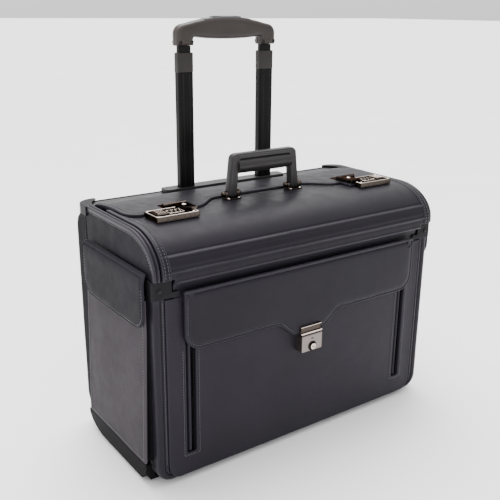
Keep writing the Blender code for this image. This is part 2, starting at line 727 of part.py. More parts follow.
def rear_lid():
    """Slightly higher rear half of the top, hinged along its rear edge."""
    crown_z = REAR_LID_TOP_Z - REAR_LID_DROP
    under_z = REAR_LID_TOP_Z - REAR_LID_THICK
    fall_reach = REAR_LID_END_Y - REAR_LID_FALL_Y
    fall = arc(REAR_LID_FALL_Y, crown_z, fall_reach, 90, 15, 4, REAR_LID_DROP)
    profile = [(TAB_Y - 1 * MM, under_z), (TAB_Y - 1 * MM, REAR_LID_TOP_Z)]
    profile += fall
    profile += [(REAR_LID_END_Y, crown_z), (REAR_LID_END_Y, crown_z - REAR_LID_EDGE)]
    profile += [(REAR_LID_FALL_Y, under_z)]
    shell = prism("rear_lid_shell", profile, "x", -LID_HALF_W, LID_HALF_W, "leatherette")
    half_w = SEAM_HALF_W - SEAM_GAP
    plan = [(half_w, REAR_LID_END_Y)] + seam_outline(SEAM_GAP) + [(-half_w, REAR_LID_END_Y)]
    return boolean(shell, prism("rear_lid_plan", plan, "z", ARCH_Z, FAR), "INTERSECT")


# ---------------------------------------------------------------- carry handle


def handle_outline():
    """Front view of the handle frame: two tapering posts under a flat top bar."""
    foot_in, foot_out = HANDLE_FOOT_X
    head_in, head_out = HANDLE_HEAD_X
    foot_middle = (foot_in + foot_out) / 2
    foot_half_w = (foot_out - foot_in) / 2
    right = [
        (head_in - HANDLE_INNER_CHAMFER, HANDLE_BAR_Z),
        (head_in, HANDLE_BAR_Z - HANDLE_INNER_CHAMFER),
        (foot_in, HANDLE_PIVOT_Z + HANDLE_NECK_H),
    ]
    right += arc(foot_middle, HANDLE_PIVOT_Z, foot_half_w, 180, 360, 6, HANDLE_FOOT_R)
    shoulder_z = HANDLE_TOP_Z - HANDLE_SHOULDER_R
    right += arc(head_out - HANDLE_SHOULDER_R, shoulder_z, HANDLE_SHOULDER_R, 0, 85, 4)
    return right + mirrored(right)


def handle_side_profile():
    """Side view of the handle frame: each foot is round about its pivot, and widens above it."""
    low_y = HANDLE_Y - HANDLE_HALF_D
    high_y = HANDLE_Y + HANDLE_HALF_D
    neck_z = HANDLE_PIVOT_Z + HANDLE_NECK_H
    top_z = HANDLE_TOP_Z + HANDLE_HALF_D
    profile = arc(HANDLE_Y, HANDLE_PIVOT_Z, HANDLE_FOOT_R, 180, 360, 8)
    return profile + [(high_y, neck_z), (high_y, top_z), (low_y, top_z), (low_y, neck_z)]


def carry_handle():
    """Frame with its pivot pins, and the padded roll between the posts."""
    frame = prism(
        "handle_frame",
        handle_outline(),
        "y",
        HANDLE_Y - 2 * HANDLE_HALF_D,
        HANDLE_Y + 2 * HANDLE_HALF_D,
        "leatherette",
    )
    half_w = 2 * HANDLE_FOOT_X[1]
    profile = prism("handle_profile", handle_side_profile(), "x", -half_w, half_w)
    boolean(frame, profile, "INTERSECT")
    for side, sign in sides():
        pin_x = span(sign, HANDLE_FOOT_X[0] - EAR_THICK, HANDLE_FOOT_X[1] + EAR_THICK)
        pin = prism(
            "handle_pin_" + side,
            circle(HANDLE_Y, HANDLE_PIVOT_Z, PIN_R, 12),
            "x",
            pin_x[0],
            pin_x[1],
        )
        join(frame, pin)
    roll = prism(
        "handle_grip",
        circle(HANDLE_Y, HANDLE_ROLL_Z, HANDLE_ROLL_R, 20),
        "x",
        -HANDLE_ROLL_HALF_L,
        HANDLE_ROLL_HALF_L,
        "leatherette",
    )
    smooth(roll)
    return [frame, roll]


def handle_bracket(side, sign):
    """Base plate with two ears that hold one foot of the handle."""
    foot_in, foot_out = HANDLE_FOOT_X
    plate_top = LID_TOP_Z + GAP + BRACKET_PLATE_THICK
    plate = box(
        "handle_bracket_" + side,
        span(sign, foot_in - EAR_THICK - 2 * GAP, foot_out + EAR_THICK + 2 * GAP),
        BRACKET_PLATE_Y,
        (LID_TOP_Z + GAP, plate_top),
        "gunmetal",
    )
    ears = (foot_in - EAR_THICK - GAP, foot_in - GAP), (foot_out + GAP, foot_out + EAR_THICK + GAP)
    for index, (near, far) in enumerate(ears):
        ear_outline = [(HANDLE_Y - EAR_R, plate_top - SINK), (HANDLE_Y + EAR_R, plate_top - SINK)]
        ear_outline += arc(HANDLE_Y, HANDLE_PIVOT_Z, EAR_R, 0, 180, 8)
        low, high = span(sign, near, far)
        join(plate, prism(f"handle_ear_{side}_{index}", ear_outline, "x", low, high))
    bore = circle(HANDLE_Y, HANDLE_PIVOT_Z, PIN_R + GAP, 12)
    low, high = span(sign, foot_in - 2 * EAR_THICK, foot_out + 2 * EAR_THICK)
    cut(plate, prism("handle_bore_" + side, bore, "x", low, high))
    return plate


# ---------------------------------------------------------------- combination locks


def lock_body(side, sign):
    """Lock case on the front lid, open at its inner rear corner where the hasp drops in."""
    notch_x, notch_y = LOCK_NOTCH
    right = [
        (LOCK_X[0], LOCK_Y[0]),
        (LOCK_X[1], LOCK_Y[0]),
        (LOCK_X[1], LOCK_Y[1]),
        (notch_x, LOCK_Y[1]),
        (notch_x, notch_y),
        (LOCK_X[0], notch_y),
    ]
    outline = right if sign > 0 else mirrored(right)
    case = prism("lock_body_" + side, outline, "z", LOCK_Z[0], LOCK_Z[1], "gunmetal")
    pocket = box(
        "lock_pocket_" + side,
        span(sign, SLIDE_POCKET_X[0], SLIDE_POCKET_X[1]),
        (LOCK_Y[0] + LOCK_RIM, LOCK_Y[1] - LOCK_RIM),
        (SLIDE_FLOOR_Z, FAR),
    )
    cut(case, pocket)
    for index, dial_x in enumerate(DIAL_X):
        slot = box(
            f"dial_slot_{side}_{index}",
            span(sign, dial_x - DIAL_HALF_W - GAP, dial_x + DIAL_HALF_W + GAP),
            (DIAL_Y - DIAL_R - 2 * GAP, DIAL_Y + DIAL_R + 2 * GAP),
            (DIAL_Z - DIAL_R - GAP, FAR),
        )
        cut(case, slot)
    return case


def lock_dial(side, sign, index):
    low, high = span(sign, DIAL_X[index] - DIAL_HALF_W, DIAL_X[index] + DIAL_HALF_W)
    outline = circle(DIAL_Y, DIAL_Z, DIAL_R, 20)
    return prism(f"dial_{side}_{index + 1}", outline, "x", low, high, "nickel")


def lock_slide(side, sign):
    """Sliding release button in the lock's outer pocket."""
    slide = box(
        "lock_slide_" + side,
        span(sign, SLIDE_X[0], SLIDE_X[1]),
        SLIDE_Y,
        SLIDE_Z,
        "nickel",
    )
    return bevel(slide, LOCK_EDGE_R, 2)


def hasp_plate(side, sign):
    """Hinge plate on the rear lid with a knuckle at each end."""
    pivot_y, pivot_z = HASP_PIVOT
    base_z = REAR_LID_TOP_Z + GAP
    top_z = base_z + HASP_PLATE_THICK
    plate_x = span(sign, HASP_X[0], HASP_X[1])
    plate = box("hasp_plate_" + side, plate_x, HASP_PLATE_Y, (base_z, top_z), "gunmetal")
    knuckle = [(pivot_y - HASP_KNUCKLE_R, top_z - SINK), (pivot_y + HASP_KNUCKLE_R, top_z - SINK)]
    knuckle += arc(pivot_y, pivot_z, HASP_KNUCKLE_R, 0, 180, 8)
    ends = (HASP_X[0], HASP_X[0] + HASP_EAR_W), (HASP_X[1] - HASP_EAR_W, HASP_X[1])
    for index, (near, far) in enumerate(ends):
        low, high = span(sign, near, far)
        join(plate, prism(f"hasp_knuckle_{side}_{index}", knuckle, "x", low, high))
    return plate


def hasp(side, sign):
    """Arm that drops into the lock, with its own knuckle between those of the plate."""
    pivot_y, pivot_z = HASP_PIVOT
    near = HASP_X[0] + HASP_EAR_W + GAP
    far = HASP_X[1] - HASP_EAR_W - GAP
    low, high = span(sign, near, far)
    outline = circle(pivot_y, pivot_z, HASP_KNUCKLE_R, 16)
    piece = prism("hasp_" + side, outline, "x", low, high, "nickel")
    arm = [
        (HASP_ARM_X[0], HASP_ARM_Y[0]),
        (HASP_ARM_X[1], HASP_ARM_Y[0]),
        (HASP_ARM_X[1], pivot_y),
        (near, pivot_y),
        (near, HASP_ARM_Y[1]),
        (HASP_ARM_X[0], HASP_ARM_Y[1]),
    ]
    arm_outline = arm if sign > 0 else mirrored(arm)
    arm_z = (pivot_z - HASP_ARM_HALF_T, pivot_z + HASP_ARM_HALF_T)
    join(piece, prism("hasp_arm_" + side, arm_outline, "z", arm_z[0], arm_z[1]))
    nose_x = span(sign, HASP_NOSE_X[0], HASP_NOSE_X[1])
    return join(piece, box("hasp_nose_" + side, nose_x, HASP_NOSE_Y, HASP_NOSE_Z))


# ---------------------------------------------------------------- pockets and flaps


def front_flap():
    """Pocket flap with rounded corners and a tongue that carries the catch."""
    corner_x = FLAP_HALF_W - FLAP_CORNER_R
    corner_z = FLAP_EDGE_Z + FLAP_CORNER_R
    tongue_root = (FLAP_TONGUE_ROOT_X, FLAP_EDGE_Z)
    tongue_tip = (FLAP_TONGUE_HALF_W, FLAP_TONGUE_Z)
    right = [(FLAP_HALF_W, FLAP_TOP_Z)]
    right += arc(corner_x, corner_z, FLAP_CORNER_R, 360, 270, 6)
    right += [tongue_root]
    right += smooth_step(tongue_root, tongue_tip, 8)
    flap = prism("front_flap", right + mirrored(right), "y", FLAP_Y[0], FLAP_Y[1], "leatherette")
    catch_x = (-CATCH_HALF_W, CATCH_HALF_W)
    catch = box("flap_catch", catch_x, CATCH_Y, CATCH_Z, "nickel")
    bevel(catch, LOCK_EDGE_R, 2)
    return [flap, catch]


def key_lock():
    """Lock case on the pocket panel and its key barrel."""
    case_x = (-KEY_LOCK_HALF_W, KEY_LOCK_HALF_W)
    case = box("pocket_lock_body", case_x, KEY_LOCK_Y, KEY_LOCK_Z, "nickel")
    bevel(case, LOCK_EDGE_R, 2)
    barrel_y, barrel_end_y = KNOB_Y
    outline = circle(0, KNOB_Z, KNOB_R, 24)
    barrel = prism("pocket_lock_barrel", outline, "y", barrel_y, barrel_end_y, "nickel")
    keyway_z = (KNOB_Z - KEYWAY_H / 2, KNOB_Z + KEYWAY_H / 2)
    keyway_x = (-KEYWAY_W / 2, KEYWAY_W / 2)
    return cut(barrel, box("keyway", keyway_x, (-FAR, barrel_y + KEYWAY_DEPTH), keyway_z))


def side_pocket(side, sign):
    """Bellows pocket: a tapering outer wall with two ends and a floor, open at the top and back."""
    base_z, top_z = SIDE_POCKET_Z
    base_x, top_x = SIDE_POCKET_X
    chamfer_x, chamfer_z = SIDE_POCKET_CHAMFER
    back_x = CASE_HALF_W + GAP
    wall = SIDE_POCKET_WALL
    right = [
        (back_x, base_z),
        (base_x - chamfer_x, base_z),
        (base_x, base_z + chamfer_z),
        (top_x, SIDE_POCKET_KINK_Z),
        (top_x, top_z),
        (back_x, top_z),
    ]
    hollow = [
        (0, base_z + wall),
        (base_x - chamfer_x - wall, base_z + wall),
        (base_x - wall, base_z + chamfer_z + wall),
        (top_x - wall, SIDE_POCKET_KINK_Z),
        (top_x - wall, FAR),
        (0, FAR),
    ]
    outline = right if sign > 0 else mirrored(right)
    hollow_outline = hollow if sign > 0 else mirrored(hollow)
    low, high = SIDE_POCKET_Y
    pocket = prism("side_pocket_" + side, outline, "y", low, high, "leatherette")
    inside = prism("side_pocket_hollow_" + side, hollow_outline, "y", low + wall, high - wall)
    cut(pocket, inside)


def side_flap(side, sign):
    """Side pocket flap: an outer sheet with rounded lower corners under a narrow top web."""
    low_y, high_y = SIDE_FLAP_Y
    radius = SIDE_FLAP_CORNER_R
    outline = arc(low_y + radius, SIDE_FLAP_Z[0] + radius, radius, 180, 270, 6)
    outline += arc(high_y - radius, SIDE_FLAP_Z[0] + radius, radius, 270, 360, 6)
    outline += [(high_y, SIDE_FLAP_Z[1]), (low_y, SIDE_FLAP_Z[1])]
    low, high = span(sign, SIDE_FLAP_X[0], SIDE_FLAP_X[1])
    flap = prism("side_flap_" + side, outline, "x", low, high, "leatherette")
    web = box(
        "side_flap_web_" + side,
        span(sign, CASE_HALF_W + 2 * GAP, SIDE_FLAP_X[0] + SINK),
        (low_y, high_y),
        (SIDE_FLAP_Z[1] - SIDE_FLAP_WEB, SIDE_FLAP_Z[1]),
    )
    return join(flap, web)


# ---------------------------------------------------------------- trolley


def tube(name, sign, size, z, wall):
    """Hollow flat-oval tube, open at both ends."""
    middle_x = sign * TUBE_X
    radius = size[1] * TUBE_ROUNDNESS
    outline = rounded_rect(middle_x, TUBE_Y, size[0], size[1], radius, 3)
    inside = rounded_rect(
        middle_x, TUBE_Y, size[0] - 2 * wall, size[1] - 2 * wall, radius - wall, 3
    )
    piece = prism(name, outline, "z", z[0], z[1], "black_aluminium")
    cut(piece, prism(name + "_bore", inside, "z", -FAR, FAR))
    return smooth(piece)


def guide_frame():
    """Fixed outer tubes of the trolley, tied together by a bar at their feet."""
    bar_y = (TUBE_Y - GUIDE_BAR_HALF_D, TUBE_Y + GUIDE_BAR_HALF_D)
    bar_z = (GUIDE_Z[0], GUIDE_Z[0] + GUIDE_BAR_H)
    bar = box("trolley_guide_frame", (-TUBE_X, TUBE_X), bar_y, bar_z, "black_aluminium")
    for side, sign in sides():
        outline = rounded_rect(sign * TUBE_X, TUBE_Y, GUIDE_SIZE[0], GUIDE_SIZE[1], GUIDE_R, 3)
        join(bar, prism("guide_tube_" + side, outline, "z", GUIDE_Z[0], GUIDE_Z[1]))
        bore = first_stage_hole(sign * TUBE_X)
        cut(bar, prism("guide_bore_" + side, bore, "z", bar_z[1] + SINK, FAR))


def trolley_bezel():
    """Oval plate around both tubes where they leave the case."""
    outline = rounded_rect(0, BEZEL_Y, 2 * BEZEL_HALF_W, BEZEL_DEPTH, BEZEL_R, 3)
    bezel = prism("trolley_bezel", outline, "z", BEZEL_Z[0], BEZEL_Z[1], "black_plastic")
    cut_tube_holes(bezel)


def trolley_grip():
    """Arched grip with a leg over each inner tube and a pocket for the release button."""
    low_z, high_z = GRIP_Z
    end_r = GRIP_END_R
    right = [
        (GRIP_LEG_X - GRIP_LEG_CHAMFER, GRIP_UNDER_Z),
        (GRIP_LEG_X, GRIP_UNDER_Z - GRIP_LEG_CHAMFER),
        (GRIP_LEG_X, low_z),
        (GRIP_HALF_W, low_z),
    ]
    right += arc(GRIP_HALF_W - end_r, GRIP_END_Z - end_r, end_r, 0, 70, 3)
    arch_half_w = GRIP_HALF_W - 1.4 * end_r
    for i in range(1, 5):
        reach = 1 - i / 5
        right.append((arch_half_w * reach, high_z - (high_z - GRIP_END_Z) * reach**2))
    outline = right + mirrored(right)
    low_y = TUBE_Y - GRIP_DEPTH / 2
    grip = prism("trolley_grip", outline, "y", low_y, low_y + GRIP_DEPTH, "grip_plastic")
    bevel(grip, GRIP_EDGE_R, 2, 50)
    half_w = BUTTON_HALF_W + GAP
    half_d = BUTTON_HALF_D + GAP
    floor_z = BUTTON_Z[0] - BUTTON_TRAVEL - 2 * GAP
    pocket_y = (TUBE_Y - half_d, TUBE_Y + half_d)
    return cut(grip, box("button_pocket", (-half_w, half_w), pocket_y, (floor_z, FAR)))


def trolley_button():
    button = box(
        "trolley_button",
        (-BUTTON_HALF_W, BUTTON_HALF_W),
        (TUBE_Y - BUTTON_HALF_D, TUBE_Y + BUTTON_HALF_D),
        BUTTON_Z,
        "black_plastic",
    )
    return bevel(button, BUTTON_EDGE_R, 2)


# ---------------------------------------------------------------- wheels and feet


def wheel_housing(side, sign):
    """Open-bottomed housing in the rear corner, trimmed to the tray's rounded edge."""
    low_y, high_y = HOUSING_Y
    trim_z = BASE_Z + TRAY_REAR_R
    outline = [(low_y, HOUSING_TOP_Z), (low_y, BASE_Z + GAP)]
    outline += arc(REAR_Y - TRAY_REAR_R, trim_z, TRAY_REAR_R - HOUSING_TRIM, 270, 313, 4)
    outline += [(high_y, HOUSING_REAR_Z), (high_y, HOUSING_TOP_Z)]
    middle = sign * WHEEL_X
    ends = (middle - HOUSING_HALF_W, middle + HOUSING_HALF_W)
    name = "wheel_housing_" + side
    housing = prism(name, outline, "x", ends[0], ends[1], "black_plastic")
    half = HOUSING_HALF_W - HOUSING_WALL
    well_r = WHEEL_R + WELL_CLEARANCE
    well = circle(WHEEL_Y, WHEEL_R, well_r, 28)
    cut(housing, prism("housing_well_" + side, well, "x", middle - half, middle + half))
    mouth_x = (middle - half, middle + half)
    mouth_y = (WHEEL_Y - well_r, WHEEL_Y + well_r)
    cut(housing, box("housing_mouth_" + side, mouth_x, mouth_y, (-FAR, HOUSING_MOUTH_Z)))
    bore = circle(WHEEL_Y, WHEEL_R, AXLE_BORE_R, 12)
    cut(housing, prism("housing_bore_" + side, bore, "x", ends[0] - GAP, ends[1] + GAP))
    outline = circle(WHEEL_Y, WHEEL_R, AXLE_R, 12)
    smooth(prism("axle_" + side, outline, "x", ends[0] + GAP, ends[1] - GAP, "steel"))


def wheel_ring(name, sign, radii, steps, finish):
    """Hub or tyre: a ring about the wheel's axis with outer and inner radii."""
    low = sign * WHEEL_X - WHEEL_HALF_W
    high = sign * WHEEL_X + WHEEL_HALF_W
    piece = prism(name, circle(WHEEL_Y, WHEEL_R, radii[0], 28), "x", low, high, finish)
    bore = circle(WHEEL_Y, WHEEL_R, radii[1], steps)
    cut(piece, prism(name + "_bore", bore, "x", low - GAP, high + GAP))
    return smooth(piece)


def front_foot(side, sign):
    outline = circle(sign * FOOT_X, FOOT_Y, FOOT_R, 20)
    smooth(prism("front_foot_" + side, outline, "z", 0, BASE_Z - GAP, "rubber"))


# ---------------------------------------------------------------- assembly


def build():
    clear_scene()
    centre = (0, 0, 0)
    root = add_axis("case", (0, ORIGIN_Y, 0), None, centre)
    base_tray()
    front_panels()
    side_panels()
    rear_panel()
    trolley_cover_board()
    hinge_rails()
    guide_frame()
    trolley_bezel()

    knob_pivot = (0, KNOB_Y[0], KNOB_Z)
    hang([key_lock()], add_axis("pocket_lock_barrel", knob_pivot, root, centre), knob_pivot)
    hang(front_flap(), add_axis("front_flap", FLAP_HINGE, root, centre), FLAP_HINGE)
    front_axis = add_axis("front_lid", FRONT_HINGE, root, centre)
    rear_axis = add_axis("rear_lid", REAR_HINGE, root, centre)
    hang([front_lid()], front_axis, FRONT_HINGE)
    hang([rear_lid()], rear_axis, REAR_HINGE)
    handle_pivot = (0, HANDLE_Y, HANDLE_PIVOT_Z)
    handle_axis = add_axis("carry_handle", handle_pivot, front_axis, FRONT_HINGE)
    hang(carry_handle(), handle_axis, handle_pivot)
    for side, sign in sides():
        hang([handle_bracket(side, sign)], front_axis, FRONT_HINGE)
        build_lock(side, sign, front_axis, rear_axis)
        build_side(side, sign, root, centre)
    build_trolley(root, centre)
    for obj in bpy.data.objects:
        if obj.parent is None and obj != root:
            obj.parent = root


def build_lock(side, sign, front_axis, rear_axis):
    """One combination lock: case, slide and dials on the front lid, hasp on the rear lid."""
    hang([lock_body(side, sign)], front_axis, FRONT_HINGE)
    slide_pivot = (sign * (SLIDE_X[0] + SLIDE_X[1]) / 2, SLIDE_Y[0], SLIDE_Z[0])
    slide_axis = add_axis("lock_slide_" + side, slide_pivot, front_axis, FRONT_HINGE)
    hang([lock_slide(side, sign)], slide_axis, slide_pivot)
    for index, dial_x in enumerate(DIAL_X):
        dial = lock_dial(side, sign, index)
        pivot = (sign * dial_x, DIAL_Y, DIAL_Z)
        hang([dial], add_axis(dial.name, pivot, front_axis, FRONT_HINGE), pivot)
    hang([hasp_plate(side, sign)], rear_axis, REAR_HINGE)
    hasp_pivot = (sign * (HASP_X[0] + HASP_X[1]) / 2, HASP_PIVOT[0], HASP_PIVOT[1])
    hasp_axis = add_axis("hasp_" + side, hasp_pivot, rear_axis, REAR_HINGE)
    hang([hasp(side, sign)], hasp_axis, hasp_pivot)


def build_side(side, sign, root, centre):
    """Brackets, side pocket and flap, wheel with its housing, and front foot of one side."""
    front_bracket(side, sign)
    rear_bracket(side, sign)
    side_pocket(side, sign)
    wheel_housing(side, sign)
    front_foot(side, sign)
    flap_pivot = (sign * SIDE_HINGE_X, 0, SIDE_HINGE_Z)
    flap_axis = add_axis("side_flap_" + side, flap_pivot, root, centre)
    hang([side_flap(side, sign)], flap_axis, flap_pivot)
    hub = wheel_ring("wheel_hub_" + side, sign, (HUB_R, AXLE_BORE_R), 12, "black_plastic")
    tyre = wheel_ring("wheel_tyre_" + side, sign, (WHEEL_R, HUB_R + GAP), 28, "rubber")
    wheel_pivot = (sign * WHEEL_X, WHEEL_Y, WHEEL_R)
    hang([hub, tyre], add_axis("wheel_" + side, wheel_pivot, root, centre), wheel_pivot)


def build_trolley(root, centre):
    """Two pulled-out stages, the grip and its release button."""
    lower_pivot = (0, TUBE_Y, STAGE1_Z[1])
    upper_pivot = (0, TUBE_Y, STAGE2_Z[1])
    button_pivot = (0, TUBE_Y, BUTTON_Z[1])
    lower_axis = add_axis("trolley_lower", lower_pivot, root, centre)
    upper_axis = add_axis("trolley_upper", upper_pivot, lower_axis, lower_pivot)
    button_axis = add_axis("trolley_button", button_pivot, upper_axis, upper_pivot)
    hang([trolley_grip()], upper_axis, upper_pivot)
    hang([trolley_button()], button_axis, button_pivot)
    for side, sign in sides():
        lower = tube("stage1_tube_" + side, sign, STAGE1_SIZE, STAGE1_Z, TUBE_WALL)
        upper = tube("stage2_tube_" + side, sign, STAGE2_SIZE, STAGE2_Z, TUBE_WALL)
        hang([lower], lower_axis, lower_pivot)
        hang([upper], upper_axis, upper_pivot)


build()
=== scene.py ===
import math

import bmesh
import bpy
from mathutils import Matrix, Vector, noise
from mathutils.geometry import delaunay_2d_cdt


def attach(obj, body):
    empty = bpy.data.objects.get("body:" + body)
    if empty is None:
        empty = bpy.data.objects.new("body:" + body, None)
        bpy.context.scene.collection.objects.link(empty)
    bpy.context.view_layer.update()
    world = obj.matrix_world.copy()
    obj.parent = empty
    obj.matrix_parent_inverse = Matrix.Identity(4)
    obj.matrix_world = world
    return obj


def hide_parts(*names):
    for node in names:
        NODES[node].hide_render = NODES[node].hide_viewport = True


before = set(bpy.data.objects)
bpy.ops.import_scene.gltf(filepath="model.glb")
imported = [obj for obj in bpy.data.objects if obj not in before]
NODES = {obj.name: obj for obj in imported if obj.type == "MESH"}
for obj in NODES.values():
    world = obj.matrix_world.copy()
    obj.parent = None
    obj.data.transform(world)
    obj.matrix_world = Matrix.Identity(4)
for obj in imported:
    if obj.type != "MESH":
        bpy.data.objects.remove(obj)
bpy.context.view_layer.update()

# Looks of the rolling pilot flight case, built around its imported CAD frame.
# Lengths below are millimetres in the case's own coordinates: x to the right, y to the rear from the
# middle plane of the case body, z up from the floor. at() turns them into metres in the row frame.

MM = 0.001
ORIGIN_Y = 9.75

# Case body
CASE_HALF_W = 237.5
CASE_REAR_Y = 107.0
TRAY_TOP_Z = 31.3
WRAP_Y = 76.0
BRACKET_R = 22.0
WALL_R = 6.0
REAR_TOP_Z = 338.0
BRACKET_BASE_Z = 322.0
CORNER_CHANGE = 5.6
FRAME_FRONT_Y = -110.0
FRAME_BASE_Z = 8.0
FRAME_TOP_Z = 264.0
FRAME_R = 22.0
PANEL_FRONT_Y = -110.5
SLOT_X = 187.3
SLOT_HALF_W = 7.2
SLOT_Z = (40.0, 222.0)
FLAP_FRONT_Y = -119.0
FLAP_HALF_W = 199.0
FLAP_Z = (190.0, 270.0)
FLAP_TONGUE = (21.0, 168.0)
FLAP_TONGUE_ROOT_X = 58.0

# Curved top
ARCH_Y = -50.0
ARCH_Z = 295.0
LID_REACH = 70.0
LID_RISE = 48.0
LID_T = 5.0
LID_HALF_W = 228.5
LID_LIP_Z = 283.0
LID_END_LIP = (212.0, 289.5)
LID_EAR_Y = 30.0
PANEL_REACH = 63.5
PANEL_RISE = 44.0
SEAM_GAP = 1.0
SEAM_HALF_W = 222.5
SEAM_Y = -25.0
SEAM_MID_Y = 3.0
SEAM_R = 22.0
TAB_X = (132.0, 156.0)
TAB_Y = -46.5
REAR_LID_END_Y = 80.0
REAR_LID_TOP_Z = 346.5
REAR_LID_DROP = 6.5

# Side pockets
POCKET_Y = (-98.0, 74.0)
POCKET_Z = (36.0, 262.0)
POCKET_X = (250.0, 243.6)
SIDE_FLAP_Y = (-104.0, 72.0)
SIDE_FLAP_Z = (222.0, 297.0)
SIDE_FLAP_X = 248.0
SIDE_FLAP_ROLL_Z = 281.0

# Handle, trolley and locks
HANDLE_Y = (-10.0, 2.0)
ROLL_HALF_L = 46.0
ROLL_R = 10.6
ROLL_Z = 387.4
TUBE_X = 70.5
TUBE_Y = 92.0
COLLAR_Z = (509.0, 535.5)
GROOVE_Z = range(345, 508, 9)
LOCK_TOP_Z = 350.0
KEY_Z = 149.5
WHEEL_AXLE = (206.0, 76.0, 19.0)


def at(x, y, z):
    """A point of the case's own coordinates, in metres in the row frame."""
    return Vector((x * MM, (y + ORIGIN_Y) * MM, z * MM))


def add_object(name, data):
    obj = bpy.data.objects.new(name, data)
    bpy.context.scene.collection.objects.link(obj)
    return obj


def clamped(value):
    return max(0.0, min(1.0, value))


def eased(t):
    return t * t * (3 - 2 * t)


def soft_step(value):
    return 1 / (1 + math.exp(-max(-30.0, min(30.0, value))))


def waves(u, v, length_u, length_v, seed):
    """Slow waviness of padded leather."""
    return noise.noise(Vector((u / length_u, v / length_v, seed)))


def round_angles(steps):
    return [2 * math.pi * i / steps for i in range(steps)]


# ---------------------------------------------------------------- materials


class Graph:
    """Small helper that adds and wires nodes of one material."""

    def __init__(self, name):
        self.material = bpy.data.materials.new(name)
        self.material.use_nodes = True
        self.nodes = self.material.node_tree.nodes
        self.links = self.material.node_tree.links
        self.shader = self.nodes["Principled BSDF"]
        self.place = self.nodes.new("ShaderNodeTexCoord").outputs["Object"]

    def add(self, kind, inputs=None, **settings):
        node = self.nodes.new(kind)
        for key, value in settings.items():
            setattr(node, key, value)
        for key, value in (inputs or {}).items():
            if isinstance(value, bpy.types.NodeSocket):
                self.links.new(value, node.inputs[key])
            else:
                node.inputs[key].default_value = value
        return node

    def stretched(self, scale):
        return self.add("ShaderNodeMapping", {"Vector": self.place, "Scale": scale}).outputs[0]

    def noise(self, scale, detail=3.0, vector=None, roughness=0.5):
        inputs = {"Vector": vector or self.place, "Scale": scale, "Detail": detail}
        inputs["Roughness"] = roughness
        return self.add("ShaderNodeTexNoise", inputs).outputs["Fac"]

    def cells(self, scale, feature="F1", vector=None):
        inputs = {"Vector": vector or self.place, "Scale": scale}
        return self.add("ShaderNodeTexVoronoi", inputs, feature=feature).outputs["Distance"]

    def ramp(self, value, low, high, to_low=0.0, to_high=1.0):
        inputs = {"Value": value, "From Min": low, "From Max": high, "To Min": to_low, "To Max": to_high}
        return self.add("ShaderNodeMapRange", inputs).outputs["Result"]

    def sum(self, first, second, share):
        """first + second * share"""
        inputs = {0: second, 1: share, 2: first}
        return self.add("ShaderNodeMath", inputs, operation="MULTIPLY_ADD").outputs[0]

    def blend(self, factor, first, second):
        node = self.add("ShaderNodeMix", data_type="RGBA")
        for index, value in ((0, factor), (6, first), (7, second)):
            if isinstance(value, bpy.types.NodeSocket):
                self.links.new(value, node.inputs[index])
            else:
                node.inputs[index].default_value = value
        return node.outputs[2]

    def colour(self, value):
        self.links.new(value, self.shader.inputs["Base Color"])

    def roughness(self, value):
        self.links.new(value, self.shader.inputs["Roughness"])

    def bump(self, height, distance, strength=1.0, below=None):
        inputs = {"Height": height, "Distance": distance, "Strength": strength}
        if below:
            inputs["Normal"] = below
        normal = self.add("ShaderNodeBump", inputs).outputs["Normal"]
        self.links.new(normal, self.shader.inputs["Normal"])
        return normal

    def edges(self, low, high):
        """0 on flats and 1 on convex edges: the mask where a lighter colour is painted as a highlight."""
        point = self.add("ShaderNodeNewGeometry").outputs["Pointiness"]
        return self.ramp(point, low, high)


LEATHER_SHEEN_TINT = (1.0, 0.92, 0.98, 1.0)
METAL_EDGE_TINT = (0.30, 0.27, 0.25, 1.0)


def shade(colour, factor):
    return (colour[0] * factor, colour[1] * factor, colour[2] * factor, 1.0)


def leatherette(name, colour, roughness, grain=950.0, depth=0.00007, edge_highlight=1.9, gloss=0.11):
    """Pebble-grained coated leather: cell grain, soft creases, and convex edges painted lighter as a painted
    highlight.
    """
    g = Graph(name)
    cells = g.cells(grain, "SMOOTH_F1")
    coarse = g.cells(grain * 0.42, "F1")
    creases = g.noise(34.0, 4.0)
    height = g.sum(cells, coarse, 0.5)
    height = g.sum(height, g.noise(grain * 2.2, 2.0), 0.35)
    grain_normal = g.bump(height, depth, 0.8)
    g.bump(creases, 0.0011, 0.35, grain_normal)
    patches = g.ramp(g.noise(9.0, 3.0), 0.3, 0.7)
    base = g.blend(patches, shade(colour, 0.86), shade(colour, 1.16))
    pits = g.ramp(cells, 0.05, 0.55)
    base = g.blend(pits, shade(colour, 0.72), base)
    # Convex edges are blended to a lighter colour: a painted highlight.
    g.colour(g.blend(g.edges(0.505, 0.56), base, shade(colour, edge_highlight)))
    rough = g.ramp(g.noise(60.0, 3.0), 0.3, 0.7, roughness - 0.05, roughness + 0.07)
    g.roughness(rough)
    g.shader.inputs["Specular IOR Level"].default_value = gloss
    g.shader.inputs["Specular Tint"].default_value = LEATHER_SHEEN_TINT
    return g.material


def textured_plastic(name, colour, roughness, grain, depth, gloss=0.25):
    """Moulded plastic with a spark-eroded texture and a painted highlight on its convex edges."""
    g = Graph(name)
    sparks = g.noise(grain, 2.0)
    g.bump(g.sum(sparks, g.cells(grain * 0.6), 0.6), depth, 0.7)
    mottle = g.ramp(g.noise(25.0, 4.0), 0.3, 0.7)
    base = g.blend(mottle, shade(colour, 0.85), shade(colour, 1.2))
    # Convex edges are painted 2.2 times lighter: a painted highlight.
    g.colour(g.blend(g.edges(0.51, 0.58), base, shade(colour, 2.2)))
    g.roughness(g.ramp(sparks, 0.3, 0.7, roughness - 0.06, roughness + 0.08))
    g.shader.inputs["Specular IOR Level"].default_value = gloss
    return g.material


